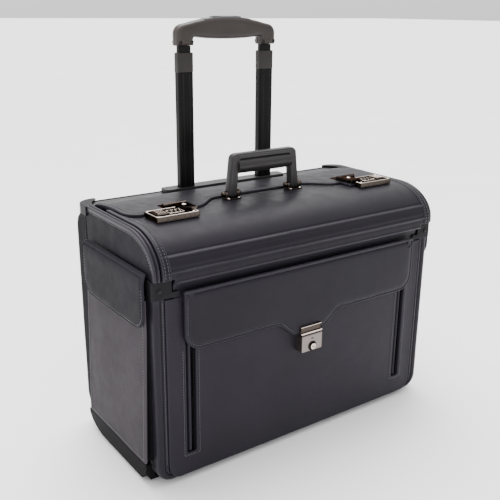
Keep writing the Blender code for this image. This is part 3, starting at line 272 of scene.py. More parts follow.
def plated_metal(name, colour, roughness, scratch=0.00002, edge=1.6):
    """Polished plating with fine scratches, faint stains, and convex edges painted brighter as a painted
    highlight.
    """
    g = Graph(name)
    scratches = g.noise(900.0, 2.0, g.stretched((1.0, 0.06, 1.0)))
    g.bump(scratches, scratch, 0.5)
    stains = g.ramp(g.noise(140.0, 5.0), 0.35, 0.7)
    base = g.blend(stains, shade(colour, 0.92), shade(colour, 1.06))
    # Convex edges are painted lighter by the factor edge: a painted highlight.
    g.colour(g.blend(g.edges(0.51, 0.57), base, shade(colour, edge)))
    g.roughness(g.ramp(g.noise(260.0, 4.0), 0.3, 0.7, roughness - 0.06, roughness + 0.1))
    g.shader.inputs["Specular Tint"].default_value = METAL_EDGE_TINT
    g.shader.inputs["Metallic"].default_value = 1.0
    return g.material


def anodised(name, colour, roughness):
    """Black anodised tube with drawing lines along its length."""
    g = Graph(name)
    lines = g.noise(1500.0, 2.0, g.stretched((1.0, 1.0, 0.012)))
    g.bump(lines, 0.00002, 0.6)
    tint = g.ramp(g.noise(70.0, 3.0, g.stretched((1.0, 1.0, 0.1))), 0.3, 0.7)
    g.colour(g.blend(tint, shade(colour, 0.8), shade(colour, 1.3)))
    g.roughness(g.ramp(lines, 0.3, 0.7, roughness - 0.05, roughness + 0.08))
    g.shader.inputs["Specular IOR Level"].default_value = 0.09
    return g.material


def woven(name, colour, pitch=1100.0):
    """Lining cloth: two crossed thread waves and a soft sheen."""
    g = Graph(name)
    first = g.add("ShaderNodeTexWave", {"Vector": g.place, "Scale": pitch * 0.32, "Distortion": 1.2})
    turned = g.add("ShaderNodeMapping", {"Vector": g.place, "Rotation": (1.571, 0.0, 1.571)}).outputs[0]
    second = g.add("ShaderNodeTexWave", {"Vector": turned, "Scale": pitch * 0.32, "Distortion": 1.2})
    weave = g.add(
        "ShaderNodeMath",
        {0: first.outputs["Fac"], 1: second.outputs["Fac"]},
        operation="MAXIMUM",
    ).outputs[0]
    g.bump(weave, 0.00025, 0.6)
    tint = g.sum(weave, g.noise(30.0, 4.0), 0.6)
    g.colour(g.blend(g.ramp(tint, 0.3, 1.4), shade(colour, 0.6), shade(colour, 1.3)))
    g.shader.inputs["Roughness"].default_value = 0.85
    g.shader.inputs["Sheen Weight"].default_value = 0.08
    return g.material


def thread_material():
    """Twisted polyester thread."""
    g = Graph("thread")
    twist = g.add("ShaderNodeTexWave", {"Vector": g.place, "Scale": 900.0, "Distortion": 2.0})
    g.bump(twist.outputs["Fac"], 0.0001, 0.6)
    g.colour(g.blend(g.noise(400.0), (0.02, 0.019, 0.021, 1.0), (0.07, 0.067, 0.072, 1.0)))
    g.shader.inputs["Roughness"].default_value = 0.5
    g.shader.inputs["Sheen Weight"].default_value = 0.3
    return g.material


LEATHER_COLOUR = (0.0095, 0.0088, 0.0120)
LEATHER = leatherette("leatherette", LEATHER_COLOUR, 0.40)
POCKET_LEATHER = leatherette("leatherette_pocket", (0.041, 0.0360, 0.0415), 0.5, 950.0, 0.00004, 1.6, 0.03)
FRONT_LEATHER = leatherette("leatherette_front", (0.0145, 0.0132, 0.0178), 0.42)
SIDE_LEATHER = leatherette("leatherette_side", (0.012, 0.0113, 0.0145), 0.5, 950.0, 0.00004, 1.9, 0.03)
# A darker copy of the black leatherette for the rear wall: painted shade.
SHADED_REAR_LEATHER = leatherette("leatherette_rear_painted_shade", (0.0056, 0.0052, 0.0066), 0.50, 950.0, 0.00005, 2.2, 0.035)
SHADED_LEATHER = leatherette("leatherette_gusset", (0.0035, 0.0033, 0.0041), 0.60, 950.0, 0.00004, 1.9, 0.02)
HANDLE_LEATHER = leatherette("leatherette_handle", (0.0105, 0.0106, 0.0104), 0.36, 1300.0, 0.00008, 1.9, 0.28)
PIPING = leatherette("leatherette_piping", (0.013, 0.0120, 0.0155), 0.32, 1500.0, 0.00003, 1.9, 0.13)
LINING = woven("lining_cloth", (0.013, 0.013, 0.0155))
THREAD = thread_material()
TRAY_PLASTIC = textured_plastic("tray_plastic", (0.0022, 0.0021, 0.0023), 0.6, 700.0, 0.00025, 0.06)
BLACK_PLASTIC = textured_plastic("black_plastic", (0.012, 0.0115, 0.012), 0.42, 1600.0, 0.00012)
GRIP_PLASTIC = textured_plastic("grip_plastic", (0.021, 0.0165, 0.0150), 0.40, 2200.0, 0.00006)
RUBBER = textured_plastic("rubber", (0.012, 0.012, 0.012), 0.70, 1300.0, 0.0002)
GUNMETAL = plated_metal("gunmetal", (0.034, 0.028, 0.024), 0.22)
BRACKET_METAL = textured_plastic("bracket_enamel", (0.0070, 0.0066, 0.0078), 0.40, 1200.0, 0.00003, 0.07)
NICKEL = plated_metal("dark_nickel", (0.048, 0.039, 0.034), 0.14)
SATIN = plated_metal("satin_nickel", (0.125, 0.108, 0.102), 0.36)
BRIGHT = plated_metal("bright_nickel", (0.40, 0.345, 0.315), 0.14)
STEEL = plated_metal("steel", (0.55, 0.55, 0.56), 0.25)
TUBE = anodised("black_aluminium", (0.0032, 0.0026, 0.0026), 0.38)
COLLAR_PLASTIC = textured_plastic("collar_plastic", (0.0085, 0.0068, 0.0062), 0.46, 2200.0, 0.00005)
INK = textured_plastic("dial_ink", (0.65, 0.62, 0.58), 0.5, 900.0, 0.00002)
# Near-black: own colour of the screw heads and the key mark; on the key well and the tube grooves it is painted
# shade.
DARK = textured_plastic("near_black_and_recess_shade", (0.004, 0.004, 0.004), 0.6, 900.0, 0.0001)


# ---------------------------------------------------------------- outlines


def arc(u, v, radius_u, start, end, steps, radius_v=None):
    radius_v = radius_u if radius_v is None else radius_v
    points = []
    for i in range(steps + 1):
        angle = math.radians(start + (end - start) * i / steps)
        points.append((u + radius_u * math.cos(angle), v + radius_v * math.sin(angle)))
    return points


def rounded_rect(u, v, width, height, radius, steps=5):
    du = width / 2 - radius
    dv = height / 2 - radius
    points = arc(u + du, v + dv, radius, 0, 90, steps)
    points += arc(u - du, v + dv, radius, 90, 180, steps)
    points += arc(u - du, v - dv, radius, 180, 270, steps)
    points += arc(u + du, v - dv, radius, 270, 360, steps)
    return points


def s_curve(start, end, steps):
    points = []
    for i in range(1, steps + 1):
        t = i / steps
        points.append((start[0] + (end[0] - start[0]) * t, start[1] + (end[1] - start[1]) * eased(t)))
    return points


def mirrored(outline):
    return [(-u, v) for u, v in reversed(outline)]


def fine(points, step, closed=True):
    """The same polyline with every stretch cut into pieces no longer than step."""
    ends = points[1:] + points[:1] if closed else points[1:]
    result = []
    for a, b in zip(points, ends):
        count = max(1, math.ceil(math.dist(a, b) / step))
        result += [(a[0] + (b[0] - a[0]) * i / count, a[1] + (b[1] - a[1]) * i / count) for i in range(count)]
    if not closed:
        result.append(points[-1])
    return result


def signed_area(points):
    pairs = zip(points, points[1:] + points[:1])
    return sum(a[0] * b[1] - b[0] * a[1] for a, b in pairs) / 2


def inward_normals(points, closed=True):
    """Normals to the left of a polyline, lengthened at corners so that an offset keeps its width."""
    count = len(points)
    result = []
    for i, (u, v) in enumerate(points):
        before = points[i - 1] if closed or i > 0 else points[i]
        after = points[(i + 1) % count] if closed or i < count - 1 else points[i]
        normals = []
        for a, b in ((before, (u, v)), ((u, v), after)):
            length = math.dist(a, b)
            if length > 1e-6:
                normals.append((-(b[1] - a[1]) / length, (b[0] - a[0]) / length))
        nu = sum(n[0] for n in normals)
        nv = sum(n[1] for n in normals)
        if len(normals) == 2:
            spread = max(0.5, 1 + normals[0][0] * normals[1][0] + normals[0][1] * normals[1][1])
            nu /= spread
            nv /= spread
        result.append((nu, nv))
    return result


def offset(points, distance, closed=True):
    normals = inward_normals(points, closed)
    return [(p[0] + n[0] * distance, p[1] + n[1] * distance) for p, n in zip(points, normals)]


def inside(u, v, loop):
    result = False
    for a, b in zip(loop, loop[1:] + loop[:1]):
        if (a[1] > v) != (b[1] > v):
            if u < (b[0] - a[0]) * (v - a[1]) / (b[1] - a[1]) + a[0]:
                result = not result
    return result


def clear_of(u, v, loops, distance):
    for loop in loops:
        for a in loop:
            if abs(a[0] - u) < distance and abs(a[1] - v) < distance:
                return False
    return True


# ---------------------------------------------------------------- mesh makers


def finish_mesh(name, bm, materials, angle=50):
    bmesh.ops.recalc_face_normals(bm, faces=bm.faces)
    mesh = bpy.data.meshes.new(name)
    bm.to_mesh(mesh)
    bm.free()
    obj = add_object(name, mesh)
    for material in materials:
        mesh.materials.append(material)
    mesh.shade_smooth()
    mesh.set_sharp_from_angle(angle=math.radians(angle))
    return obj


def piece(obj, body, slot, *nodes):
    """Make a new piece move with a body and hide the CAD nodes it stands for. The slot argument is not used."""
    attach(obj, body)
    if nodes:
        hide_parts(*nodes)
    return obj


def fill_area(bm, loops, verts, place, pitch, height, material):
    """Triangulate the area within loops, with a grid of points at pitch inside it."""
    flat = [Vector(p) for loop in loops for p in loop]
    known = [v for ring in verts for v in ring]
    low_u = min(p[0] for p in flat)
    high_u = max(p[0] for p in flat)
    low_v = min(p[1] for p in flat)
    high_v = max(p[1] for p in flat)
    points = list(flat)
    pitch_u, pitch_v = pitch
    rows = int((high_v - low_v) / pitch_v)
    for row in range(1, rows + 1):
        v = low_v + (high_v - low_v) * row / (rows + 1)
        crossings = []
        for loop in loops:
            for a, b in zip(loop, loop[1:] + loop[:1]):
                if (a[1] > v) != (b[1] > v):
                    crossings.append((b[0] - a[0]) * (v - a[1]) / (b[1] - a[1]) + a[0])
        crossings.sort()
        for start, end in zip(crossings[::2], crossings[1::2]):
            count = int((end - start) / pitch_u)
            for i in range(1, count):
                u = start + (end - start) * i / count
                if clear_of(u, v, loops, 0.45 * min(pitch_u, pitch_v)):
                    points.append(Vector((u, v)))
    edges = []
    first = 0
    for loop in loops:
        count = len(loop)
        edges += [(first + i, first + (i + 1) % count) for i in range(count)]
        first += count
    outer = list(range(len(loops[0])))
    found, _, faces, origins, _, _ = delaunay_2d_cdt(points, edges, [outer], 1, 1e-5)
    made = []
    for point, origin in zip(found, origins):
        known_here = [i for i in origin if i < len(known)]
        if known_here:
            made.append(known[known_here[0]])
        else:
            made.append(bm.verts.new(place(point[0], point[1], height(point[0], point[1]))))
    for face in faces:
        middle_u = sum(found[i][0] for i in face) / len(face)
        middle_v = sum(found[i][1] for i in face) / len(face)
        if any(inside(middle_u, middle_v, loop) for loop in loops[1:]):
            continue
        corners = [made[i] for i in face]
        if len(set(corners)) < 3:
            continue
        try:
            bm.faces.new(corners).material_index = material
        except ValueError:
            continue


def quilt(name, outline, rings, place, pitch, materials, relief=None, holes=(), step=3.0, back=None):
    """A padded panel. rings run from its back edge round its rim to the edge of its face, as (inset,
    height). place(u, v, height) puts a point in space; relief(u, v) lifts the face."""
    loops = [fine(outline, step)] + [fine(hole, step) for hole in holes]
    if signed_area(loops[0]) < 0:
        loops[0].reverse()
    for i in range(1, len(loops)):
        if signed_area(loops[i]) > 0:
            loops[i].reverse()
    bm = bmesh.new()
    half = rings[0][1] / 2
    lifted = relief or (lambda u, v: 0.0)
    layers = []
    for inset, height in rings:
        flat = [offset(loop, inset) for loop in loops]
        verts = []
        for loop in flat:
            row = []
            for u, v in loop:
                lift = lifted(u, v) if height > half else 0.0
                row.append(bm.verts.new(place(u, v, height + lift)))
            verts.append(row)
        layers.append((flat, verts, height))
    for (_, low, _), (_, high, _) in zip(layers, layers[1:]):
        for low_row, high_row in zip(low, high):
            count = len(low_row)
            for i in range(count):
                j = (i + 1) % count
                bm.faces.new((low_row[i], low_row[j], high_row[j], high_row[i]))
    flat, verts, height = layers[-1]
    fill_area(bm, flat, verts, place, pitch, lambda u, v: height + lifted(u, v), 0)
    flat, verts, base = layers[0]
    last = len(materials) - 1
    fill_area(bm, flat, verts, place, back or pitch, lambda u, v: base, last)
    return finish_mesh(name, bm, materials)


def sweep(name, rows, materials, closed=False, round_section=True, caps=True):
    """Skin over rows of points, each row one cross-section."""
    bm = bmesh.new()
    verts = [[bm.verts.new(p) for p in row] for row in rows]
    pairs = list(zip(verts, verts[1:]))
    if closed:
        pairs.append((verts[-1], verts[0]))
    for low, high in pairs:
        count = len(low)
        for i in range(count if round_section else count - 1):
            j = (i + 1) % count
            bm.faces.new((low[i], low[j], high[j], high[i]))
    if caps and not closed:
        bm.faces.new(verts[0])
        bm.faces.new(verts[-1])
    return finish_mesh(name, bm, materials)


def frames_along(path, up, closed=False):
    """Side and up directions at each point of a path in space."""
    result = []
    count = len(path)
    for i, point in enumerate(path):
        before = path[i - 1] if closed or i > 0 else point
        after = path[(i + 1) % count] if closed or i < count - 1 else point
        along = (after - before).normalized()
        lift = up[i] if isinstance(up, list) else up
        side = along.cross(lift).normalized()
        result.append((side, side.cross(along).normalized()))
    return result


def cord_tube(name, path, up, radius, material, closed=False, sides=10):
    """Round piping along a path in space, in metres."""
    rows = []
    for point, (side, lift) in zip(path, frames_along(path, up, closed)):
        row = []
        for angle in round_angles(sides):
            row.append(point + radius * MM * (math.cos(angle) * side + math.sin(angle) * lift))
        rows.append(row)
    return sweep(name, rows, [material], closed)


def surface_path(points, place, height, step, closed=False):
    """Points and normals on a placed surface along a (u, v) polyline."""
    flat = fine(points, step, closed)
    path = [place(u, v, height) for u, v in flat]
    up = [(place(u, v, height + 1) - place(u, v, height)).normalized() for u, v in flat]
    return path, up


def evenly(points, step, closed=False):
    """(u, v, direction) at even steps along a polyline."""
    ends = points[1:] + points[:1] if closed else points[1:]
    total = sum(math.dist(a, b) for a, b in zip(points, ends))
    count = max(1, round(total / step))
    result = []
    travelled = 0.0
    wanted = total / count / 2
    for a, b in zip(points, ends):
        length = math.dist(a, b)
        while length > 0 and wanted <= travelled + length:
            t = (wanted - travelled) / length
            direction = ((b[0] - a[0]) / length, (b[1] - a[1]) / length)
            result.append((a[0] + (b[0] - a[0]) * t, a[1] + (b[1] - a[1]) * t, direction))
            wanted += total / count
        travelled += length
    return result


# (share of the length, rise, width) along one stitch
STITCH_SECTIONS = ((-0.5, -0.25, 0.3), (-0.34, 0.12, 0.9), (0.0, 0.22, 1.0), (0.34, 0.12, 0.9))
STITCH_SECTIONS += ((0.5, -0.25, 0.3),)


def runs(points, gap):
    """Open rows that a closed row of points falls into where neighbours are more than gap apart."""
    breaks = [i for i in range(len(points)) if math.dist(points[i], points[i - 1]) > gap]
    ends = breaks[1:] + [breaks[0] + len(points)]
    twice = points + points
    return [twice[first:last] for first, last in zip(breaks, ends)]


def stitches(name, lines, place, height=0.0, pitch=4.0, length=2.9, radius=0.42, closed=False):
    """Rows of sewn thread on a placed surface, all in one piece."""
    bm = bmesh.new()
    for line in lines:
        for u, v, (du, dv) in evenly(line, pitch, closed):
            lift = height(u, v) if callable(height) else height
            middle = place(u, v, lift)
            along = (place(u + du * 0.5, v + dv * 0.5, lift) - middle).normalized()
            normal = (place(u, v, lift + 1) - middle).normalized()
            side = along.cross(normal)
            rows = []
            for share, rise, width in STITCH_SECTIONS:
                centre = middle + along * (share * length * MM) + normal * (rise * MM)
                row = []
                for i in range(6):
                    angle = math.pi / 3 * i
                    spread = side * math.cos(angle) + normal * math.sin(angle)
                    row.append(bm.verts.new(centre + spread * (radius * width * MM)))
                rows.append(row)
            for low, high in zip(rows, rows[1:]):
                for i in range(6):
                    bm.faces.new((low[i], low[(i + 1) % 6], high[(i + 1) % 6], high[i]))
            bm.faces.new(rows[0])
            bm.faces.new(rows[-1])
    return finish_mesh(name, bm, [THREAD])


def round_edges(obj, rounding, segments):
    bevel = obj.modifiers.new("rounding", "BEVEL")
    bevel.width = rounding * MM
    bevel.segments = segments
    bevel.angle_limit = math.radians(35)
    bevel.harden_normals = True


def solid(name, outline, axis, low, high, material, rounding=0.6, segments=3):
    """Extruded outline in millimetres with rounded edges. axis x takes (y, z), y (x, z), z (x, y)."""
    spots = {"x": lambda u, v, w: at(w, u, v), "y": lambda u, v, w: at(u, w, v), "z": at}
    bm = bmesh.new()
    verts = [bm.verts.new(spots[axis](u, v, low)) for u, v in outline]
    face = bm.faces.new(verts)
    grown = bmesh.ops.extrude_face_region(bm, geom=[face])
    moved = [item for item in grown["geom"] if isinstance(item, bmesh.types.BMVert)]
    shift = spots[axis](0, 0, high) - spots[axis](0, 0, low)
    bmesh.ops.translate(bm, verts=moved, vec=shift)
    obj = finish_mesh(name, bm, [material])
    if rounding:
        round_edges(obj, rounding, segments)
    return obj


def turned(name, profile, centre, axis, material, steps=40):
    """Body of revolution. profile holds (radius, distance along the axis) in millimetres."""
    turn = {"x": Matrix.Rotation(math.pi / 2, 3, "Y"), "y": Matrix.Rotation(-math.pi / 2, 3, "X")}
    matrix = turn.get(axis, Matrix.Identity(3))
    rows = []
    for radius, along in profile:
        row = []
        for angle in round_angles(steps):
            local = Vector((radius * math.cos(angle), radius * math.sin(angle), along)) * MM
            row.append(centre + matrix @ local)
        rows.append(row)
    return sweep(name, rows, [material])


def recoat(node, material, rounding=0.0, segments=3):
    """Give a CAD node its finished material and, where it is sharp, rounded edges."""
    obj = NODES[node]
    obj.data.materials.clear()
    obj.data.materials.append(material)
    if rounding:
        weld = obj.modifiers.new("weld", "WELD")
        weld.merge_threshold = 0.00001
        round_edges(obj, rounding, segments)


def sides():
    return (("left", -1), ("right", 1))


def edge_rings(depth, bead=0.35, groove=3.8, pad=0.8, pad_width=7.0):
    """Rim of a sewn panel: rounded outer edge, low bead, stitch groove, then the padded face."""
    return [
        (0.9, -depth),
        (0.2, -depth + 0.3),
        (0.0, -depth + 0.9),
        (0.0, -1.5),
        (0.25, -0.7),
        (0.9, -0.05),
        (1.9, bead),
        (2.8, bead * 0.7),
        (groove - 0.5, -0.15),
        (groove, -0.6),
        (groove + 0.5, -0.15),
        (groove + 1.5, pad * 0.45),
        (groove + pad_width * 0.5, pad * 0.85),
        (groove + pad_width, pad),
    ]


# ---------------------------------------------------------------- surfaces of the case


def front_place(front_y):
    return lambda x, z, h: at(x, front_y - h, z)


def arch_table(reach, rise, count=80):
    """(travelled, y, z) down the quarter ellipse from its top, then straight down to the lip."""
    table = [(0.0, ARCH_Y, ARCH_Z + rise)]
    for i in range(1, count + 1):
        angle = math.radians(90 + 90 * i / count)
        y = ARCH_Y + reach * math.cos(angle)
        z = ARCH_Z + rise * math.sin(angle)
        step = math.hypot(y - table[-1][1], z - table[-1][2])
        table.append((table[-1][0] + step, y, z))
    return table


ARCH = arch_table(LID_REACH, LID_RISE)
ARCH_LENGTH = ARCH[-1][0]


def lid_profile(s):
    """Point and outward normal of the curved lid, s millimetres rearward of the curve's top."""
    if s >= 0:
        return ARCH_Y + s, ARCH_Z + LID_RISE, 0.0, 1.0
    down = -s
    if down >= ARCH_LENGTH:
        return ARCH_Y - LID_REACH, ARCH_Z - (down - ARCH_LENGTH), -1.0, 0.0
    index = next(i for i in range(1, len(ARCH)) if ARCH[i][0] >= down)
    before = ARCH[index - 1]
    after = ARCH[index]
    t = (down - before[0]) / (after[0] - before[0])
    y = before[1] + (after[1] - before[1]) * t
    z = before[2] + (after[2] - before[2]) * t
    ny = (y - ARCH_Y) / LID_REACH**2
    nz = (z - ARCH_Z) / LID_RISE**2
    length = math.hypot(ny, nz)
    return y, z, ny / length, nz / length


HINGE_STRIP = [(-112.6, 284.0), (-112.0, 281.0), (-110.9, 277.5)]
HINGE_STRIP += [(-110.0, 271.0), (-109.3, 266.0), (-109.0, 261.0)]


def hinge_strip():
    """Leather strip that covers the front hinge rail between the lid and the pocket."""
    rows = []
    for x in range(-210, 211, 6):
        sag = 0.5 * waves(x, 0.0, 45.0, 1.0, 8.0)
        front = [at(x, y - sag * 0.6, z) for y, z in HINGE_STRIP]
        back = [at(x, y + 1.6, z) for y, z in reversed(HINGE_STRIP)]
        rows.append(front + back)
    strip = sweep("front_hinge_strip", rows, [LEATHER])
    piece(strip, "case", "leatherette")


def lid_place(x, s, h):
    y, z, ny, nz = lid_profile(s)
    return at(x, y + ny * h, z + nz * h)


def lid_s(z):
    """Distance along the lid of the height z on its front."""
    if z <= ARCH_Z:
        return -(ARCH_LENGTH + ARCH_Z - z)
    index = next(i for i in range(1, len(ARCH)) if ARCH[i][2] <= z)
    return -ARCH[index][0]


def rear_lid_top(y):
    fall = max(0.0, (y - 20.0) / 60.0)
    return REAR_LID_TOP_Z - REAR_LID_DROP * fall**2.4


def rear_lid_place(x, y, h):
    return at(x, y, rear_lid_top(y) + h)


def seam_outline(inset):
    """Plan outline of the seam between the lids from right to left, moved back by inset."""
    half_w = SEAM_HALF_W - inset
    edge_y = SEAM_Y + inset
    tab_in = TAB_X[0] + inset
    tab_out = TAB_X[1] - inset
    right = arc(half_w - SEAM_R, edge_y + SEAM_R, SEAM_R, 360, 270, 8)
    right += [(tab_out, edge_y), (tab_out, TAB_Y + inset)]
    right += [(tab_in, TAB_Y + inset), (tab_in, edge_y), (120.0, edge_y)]
    right += s_curve((120.0, edge_y), (76.0, SEAM_MID_Y + inset), 10)
    return right + mirrored(right)


def wrap_length(radius):
    """Half of the rear wall's outline with corners of this radius, unrolled."""
    return CASE_HALF_W - radius + radius * math.pi / 2 + CASE_REAR_Y - radius - WRAP_Y


def wrap_place(t, z, h):
    """Rear wall unrolled: t runs round it, 0 at its middle. Its corners are rounder at the brackets."""
    share = clamped((z - BRACKET_BASE_Z) / CORNER_CHANGE)
    radius = WALL_R + (BRACKET_R - WALL_R) * share * share * (3 - 2 * share)
    straight = CASE_HALF_W - radius
    quarter = radius * math.pi / 2
    sign = 1 if t >= 0 else -1
    reach = abs(t) * wrap_length(radius) / WRAP_HALF
    if reach <= straight:
        return at(sign * reach, CASE_REAR_Y + h, z)
    if reach <= straight + quarter:
        angle = (reach - straight) / radius
        x = straight + (radius + h) * math.sin(angle)
        return at(sign * x, CASE_REAR_Y - radius + (radius + h) * math.cos(angle), z)
    y = CASE_REAR_Y - radius - (reach - straight - quarter)
    return at(sign * (CASE_HALF_W + h), y, z)


WRAP_HALF = wrap_length(WALL_R)
WRAP_CORNER = CASE_HALF_W - WALL_R + WALL_R * math.pi / 4


def side_place(sign, face_x):
    """Side surfaces: u is y, v is z. face_x is a number or a function of (y, z)."""
    if callable(face_x):
        return lambda y, z, h: at(sign * (face_x(y, z) + h), y, z)
    return lambda y, z, h: at(sign * (face_x + h), y, z)


def bump_line(distance, height, width):
    return height * math.exp(-((distance / width) ** 2))


# ---------------------------------------------------------------- lids


RIDGES = (lid_s(316.0), lid_s(299.5))


def front_lid_relief(x, s):
    """Two welts across the front of the lid and a raised binding along both ends."""
    h = 0.0
    for ridge in RIDGES:
        h += bump_line(s - ridge, 1.5, 1.5) - bump_line(s - ridge - 3.6, 0.7, 1.1)
        h -= bump_line(s - ridge + 3.4, 0.5, 1.1)
    low = (RIDGES[1] - RIDGES[0]) / 2
    h += 0.5 * max(0.0, 1 - ((s - (RIDGES[0] + low)) / low) ** 2) if RIDGES[1] < s < RIDGES[0] else 0.0
    end = abs(x) - 218.8
    keep = 1 / (1 + math.exp(-end / 0.35))
    h = h * (1 - 0.75 * keep) + 0.9 * keep
    return h + 0.25 * waves(x, s, 60.0, 35.0, 0.0)


def front_lid():
    s_lip = lid_s(LID_LIP_Z)
    s_end = lid_s(LID_END_LIP[1])
    right = [(0.0, s_lip), (LID_END_LIP[0], s_lip), (LID_END_LIP[0], s_end), (LID_HALF_W, s_end)]
    right += [(LID_HALF_W, SEAM_Y + SEAM_R - ARCH_Y)]
    right += [(x, y - ARCH_Y) for x, y in seam_outline(0) if x > 0]
    outline = right + [(-x, s) for x, s in reversed(right) if x > 0]
    rings = [(0.9, -LID_T), (0.2, -LID_T + 0.4), (0.0, -LID_T + 1.0), (0.0, -1.4)]
    rings += [(0.3, -0.6), (1.0, -0.1), (1.9, 0.0)]
    lid = quilt(
        "front_lid_cover",
        outline,
        rings,
        lid_place,
        (9.0, 1.1),
        [LEATHER, LINING],
        front_lid_relief,
        back=(14.0, 5.0),
    )
    piece(lid, "front_lid", "leatherette", "front_lid_shell")
    for side, sign in sides():
        low = SEAM_Y + SEAM_R - ARCH_Y + 0.4
        ear = rounded_rect(sign * 225.6, (low + LID_EAR_Y - ARCH_Y) / 2, 5.6, LID_EAR_Y - ARCH_Y - low, 1.0, 2)
        ear_rings = [(0.7, -LID_T), (0.0, -LID_T + 0.7), (0.0, -0.4), (0.4, 0.5), (1.2, 0.9)]
        strip = quilt("front_lid_ear_" + side, ear, ear_rings, lid_place, (4.0, 6.0), [LEATHER], step=2.0)
        piece(strip, "front_lid", "leatherette")
        path, up = surface_path([(sign * 218.2, s_end), (sign * 218.2, 24.0)], lid_place, 0.1, 3.0)
        welt = cord_tube("front_lid_welt_" + side, path, up, 0.9, PIPING)
        piece(welt, "front_lid", "leatherette")
        lines = [[(sign * x, s_end + 3), (sign * x, top)] for x, top in ((220.6, 26.0), (225.2, 76.0))]
        sewn = stitches("front_lid_stitches_" + side, lines, lid_place, 0.95)
        piece(sewn, "front_lid", "leatherette")
        outer = [(sign * 227.4, s_end + 0.5), (sign * 227.4, 79.0)]
        path, up = surface_path(outer, lid_place, 0.2, 3.0)
        piece(cord_tube("front_lid_edge_" + side, path, up, 1.1, PIPING), "front_lid", "leatherette")
    for index, ridge in enumerate(RIDGES):
        path, up = surface_path([(-217.6, ridge), (217.6, ridge)], lid_place, 0.7, 20.0)
        piece(cord_tube(f"front_lid_ridge_{index}", path, up, 0.95, PIPING), "front_lid", "leatherette")
    lip = [(-209.0, s_lip + 2.6), (209.0, s_lip + 2.6)]
    path, up = surface_path(lip, lid_place, 0.0, 20.0)
    piece(cord_tube("front_lid_lip_welt", path, up, 1.3, PIPING), "front_lid", "leatherette")
    edge = [(x, y - ARCH_Y - 4.0) for x, y in seam_outline(0) if abs(x) < 122 or 160 < abs(x) < 206]
    spans = ((-207, -158), (-123, 123), (158, 207))
    groups = [[p for p in edge if low < p[0] < high] for low, high in spans]
    sewn = stitches("front_lid_seam_stitches", [fine(g, 4.0, False) for g in groups], lid_place, 0.15)
    piece(sewn, "front_lid", "leatherette")


def rear_lid_relief(x, y):
    return 0.5 * waves(x, y, 70.0, 40.0, 5.0)


def rear_lid():
    half_w = SEAM_HALF_W - SEAM_GAP
    front = list(reversed(seam_outline(SEAM_GAP)))
    outline = front + [(half_w, REAR_LID_END_Y), (-half_w, REAR_LID_END_Y)]
    rings = edge_rings(6.6, 0.1, 4.6, 0.4, 3.0)
    lid = quilt(
        "rear_lid_cover",
        outline,
        rings,
        rear_lid_place,
        (7.0, 6.0),
        [LEATHER, LINING],
        rear_lid_relief,
        step=2.0,
        back=(14.0, 8.0),
    )
    piece(lid, "rear_lid", "leatherette", "rear_lid_shell")
    border = offset(fine(outline, 2.0), 4.6)
    sewn = stitches("rear_lid_stitches", [border], rear_lid_place, -0.5, closed=True)
    piece(sewn, "rear_lid", "leatherette")


# ---------------------------------------------------------------- front


def front_outline(half_w, base_z, top_z, radius):
    outline = arc(-half_w + radius, base_z + radius, radius, 180, 270, 8)
    outline += arc(half_w - radius, base_z + radius, radius, 270, 360, 8)
    return outline + [(half_w, top_z), (-half_w, top_z)]


def front_frame():
    """Raised rim around the front pocket: a rounded roll, a stitched groove and an inner lip."""
    path = [(-CASE_HALF_W, FRAME_TOP_Z)] + front_outline(CASE_HALF_W, FRAME_BASE_Z, FRAME_TOP_Z, FRAME_R)[:-2]
    path += [(CASE_HALF_W, FRAME_TOP_Z)]
    path = fine(path, 5.0, False)
    normals = inward_normals(path, False)
    section = [(2.0, -17.4), (0.5, -17.0), (0.0, -16.0), (0.0, -3.2), (0.35, -1.6), (1.3, -0.4), (2.8, 0.45)]
    section += [(4.8, 0.8), (6.8, 0.7), (8.6, 0.2), (9.6, -0.5), (10.2, -1.1), (10.8, -0.5), (11.6, -0.1)]
    section += [(14.2, -0.1), (15.1, -0.5), (15.5, -1.4), (15.5, -16.6), (14.8, -17.4)]
    place = front_place(FRAME_FRONT_Y)
    rows = []
    for (u, v), (nu, nv) in zip(path, normals):
        narrow = 1 - 0.226 * nv**2
        sink = 1.6 * max(0.0, nv) ** 3
        rows.append([place(u + nu * d * narrow, v + nv * d * narrow, h - sink) for d, h in section])
    roll = sweep("front_frame_roll", rows, [LEATHER])
    piece(roll, "case", "leatherette", "front_frame")
    for side, sign in sides():
        line = [(sign * (CASE_HALF_W - 12.6), FRAME_TOP_Z - 4), (sign * (CASE_HALF_W - 12.6), 34.0)]
        sewn = stitches("front_frame_stitches_" + side, [line], place, -0.15)
        piece(sewn, "case", "leatherette")


def front_pocket_relief(x, z):
    """The pocket front swells a little, more towards its middle."""
    u = x / 222.0
    v = (z - 130.0) / 130.0
    swell = 1.6 * max(0.0, 1 - u**4) * max(0.0, 1 - v**4)
    return swell + 0.35 * waves(x, z, 80.0, 60.0, 2.0)


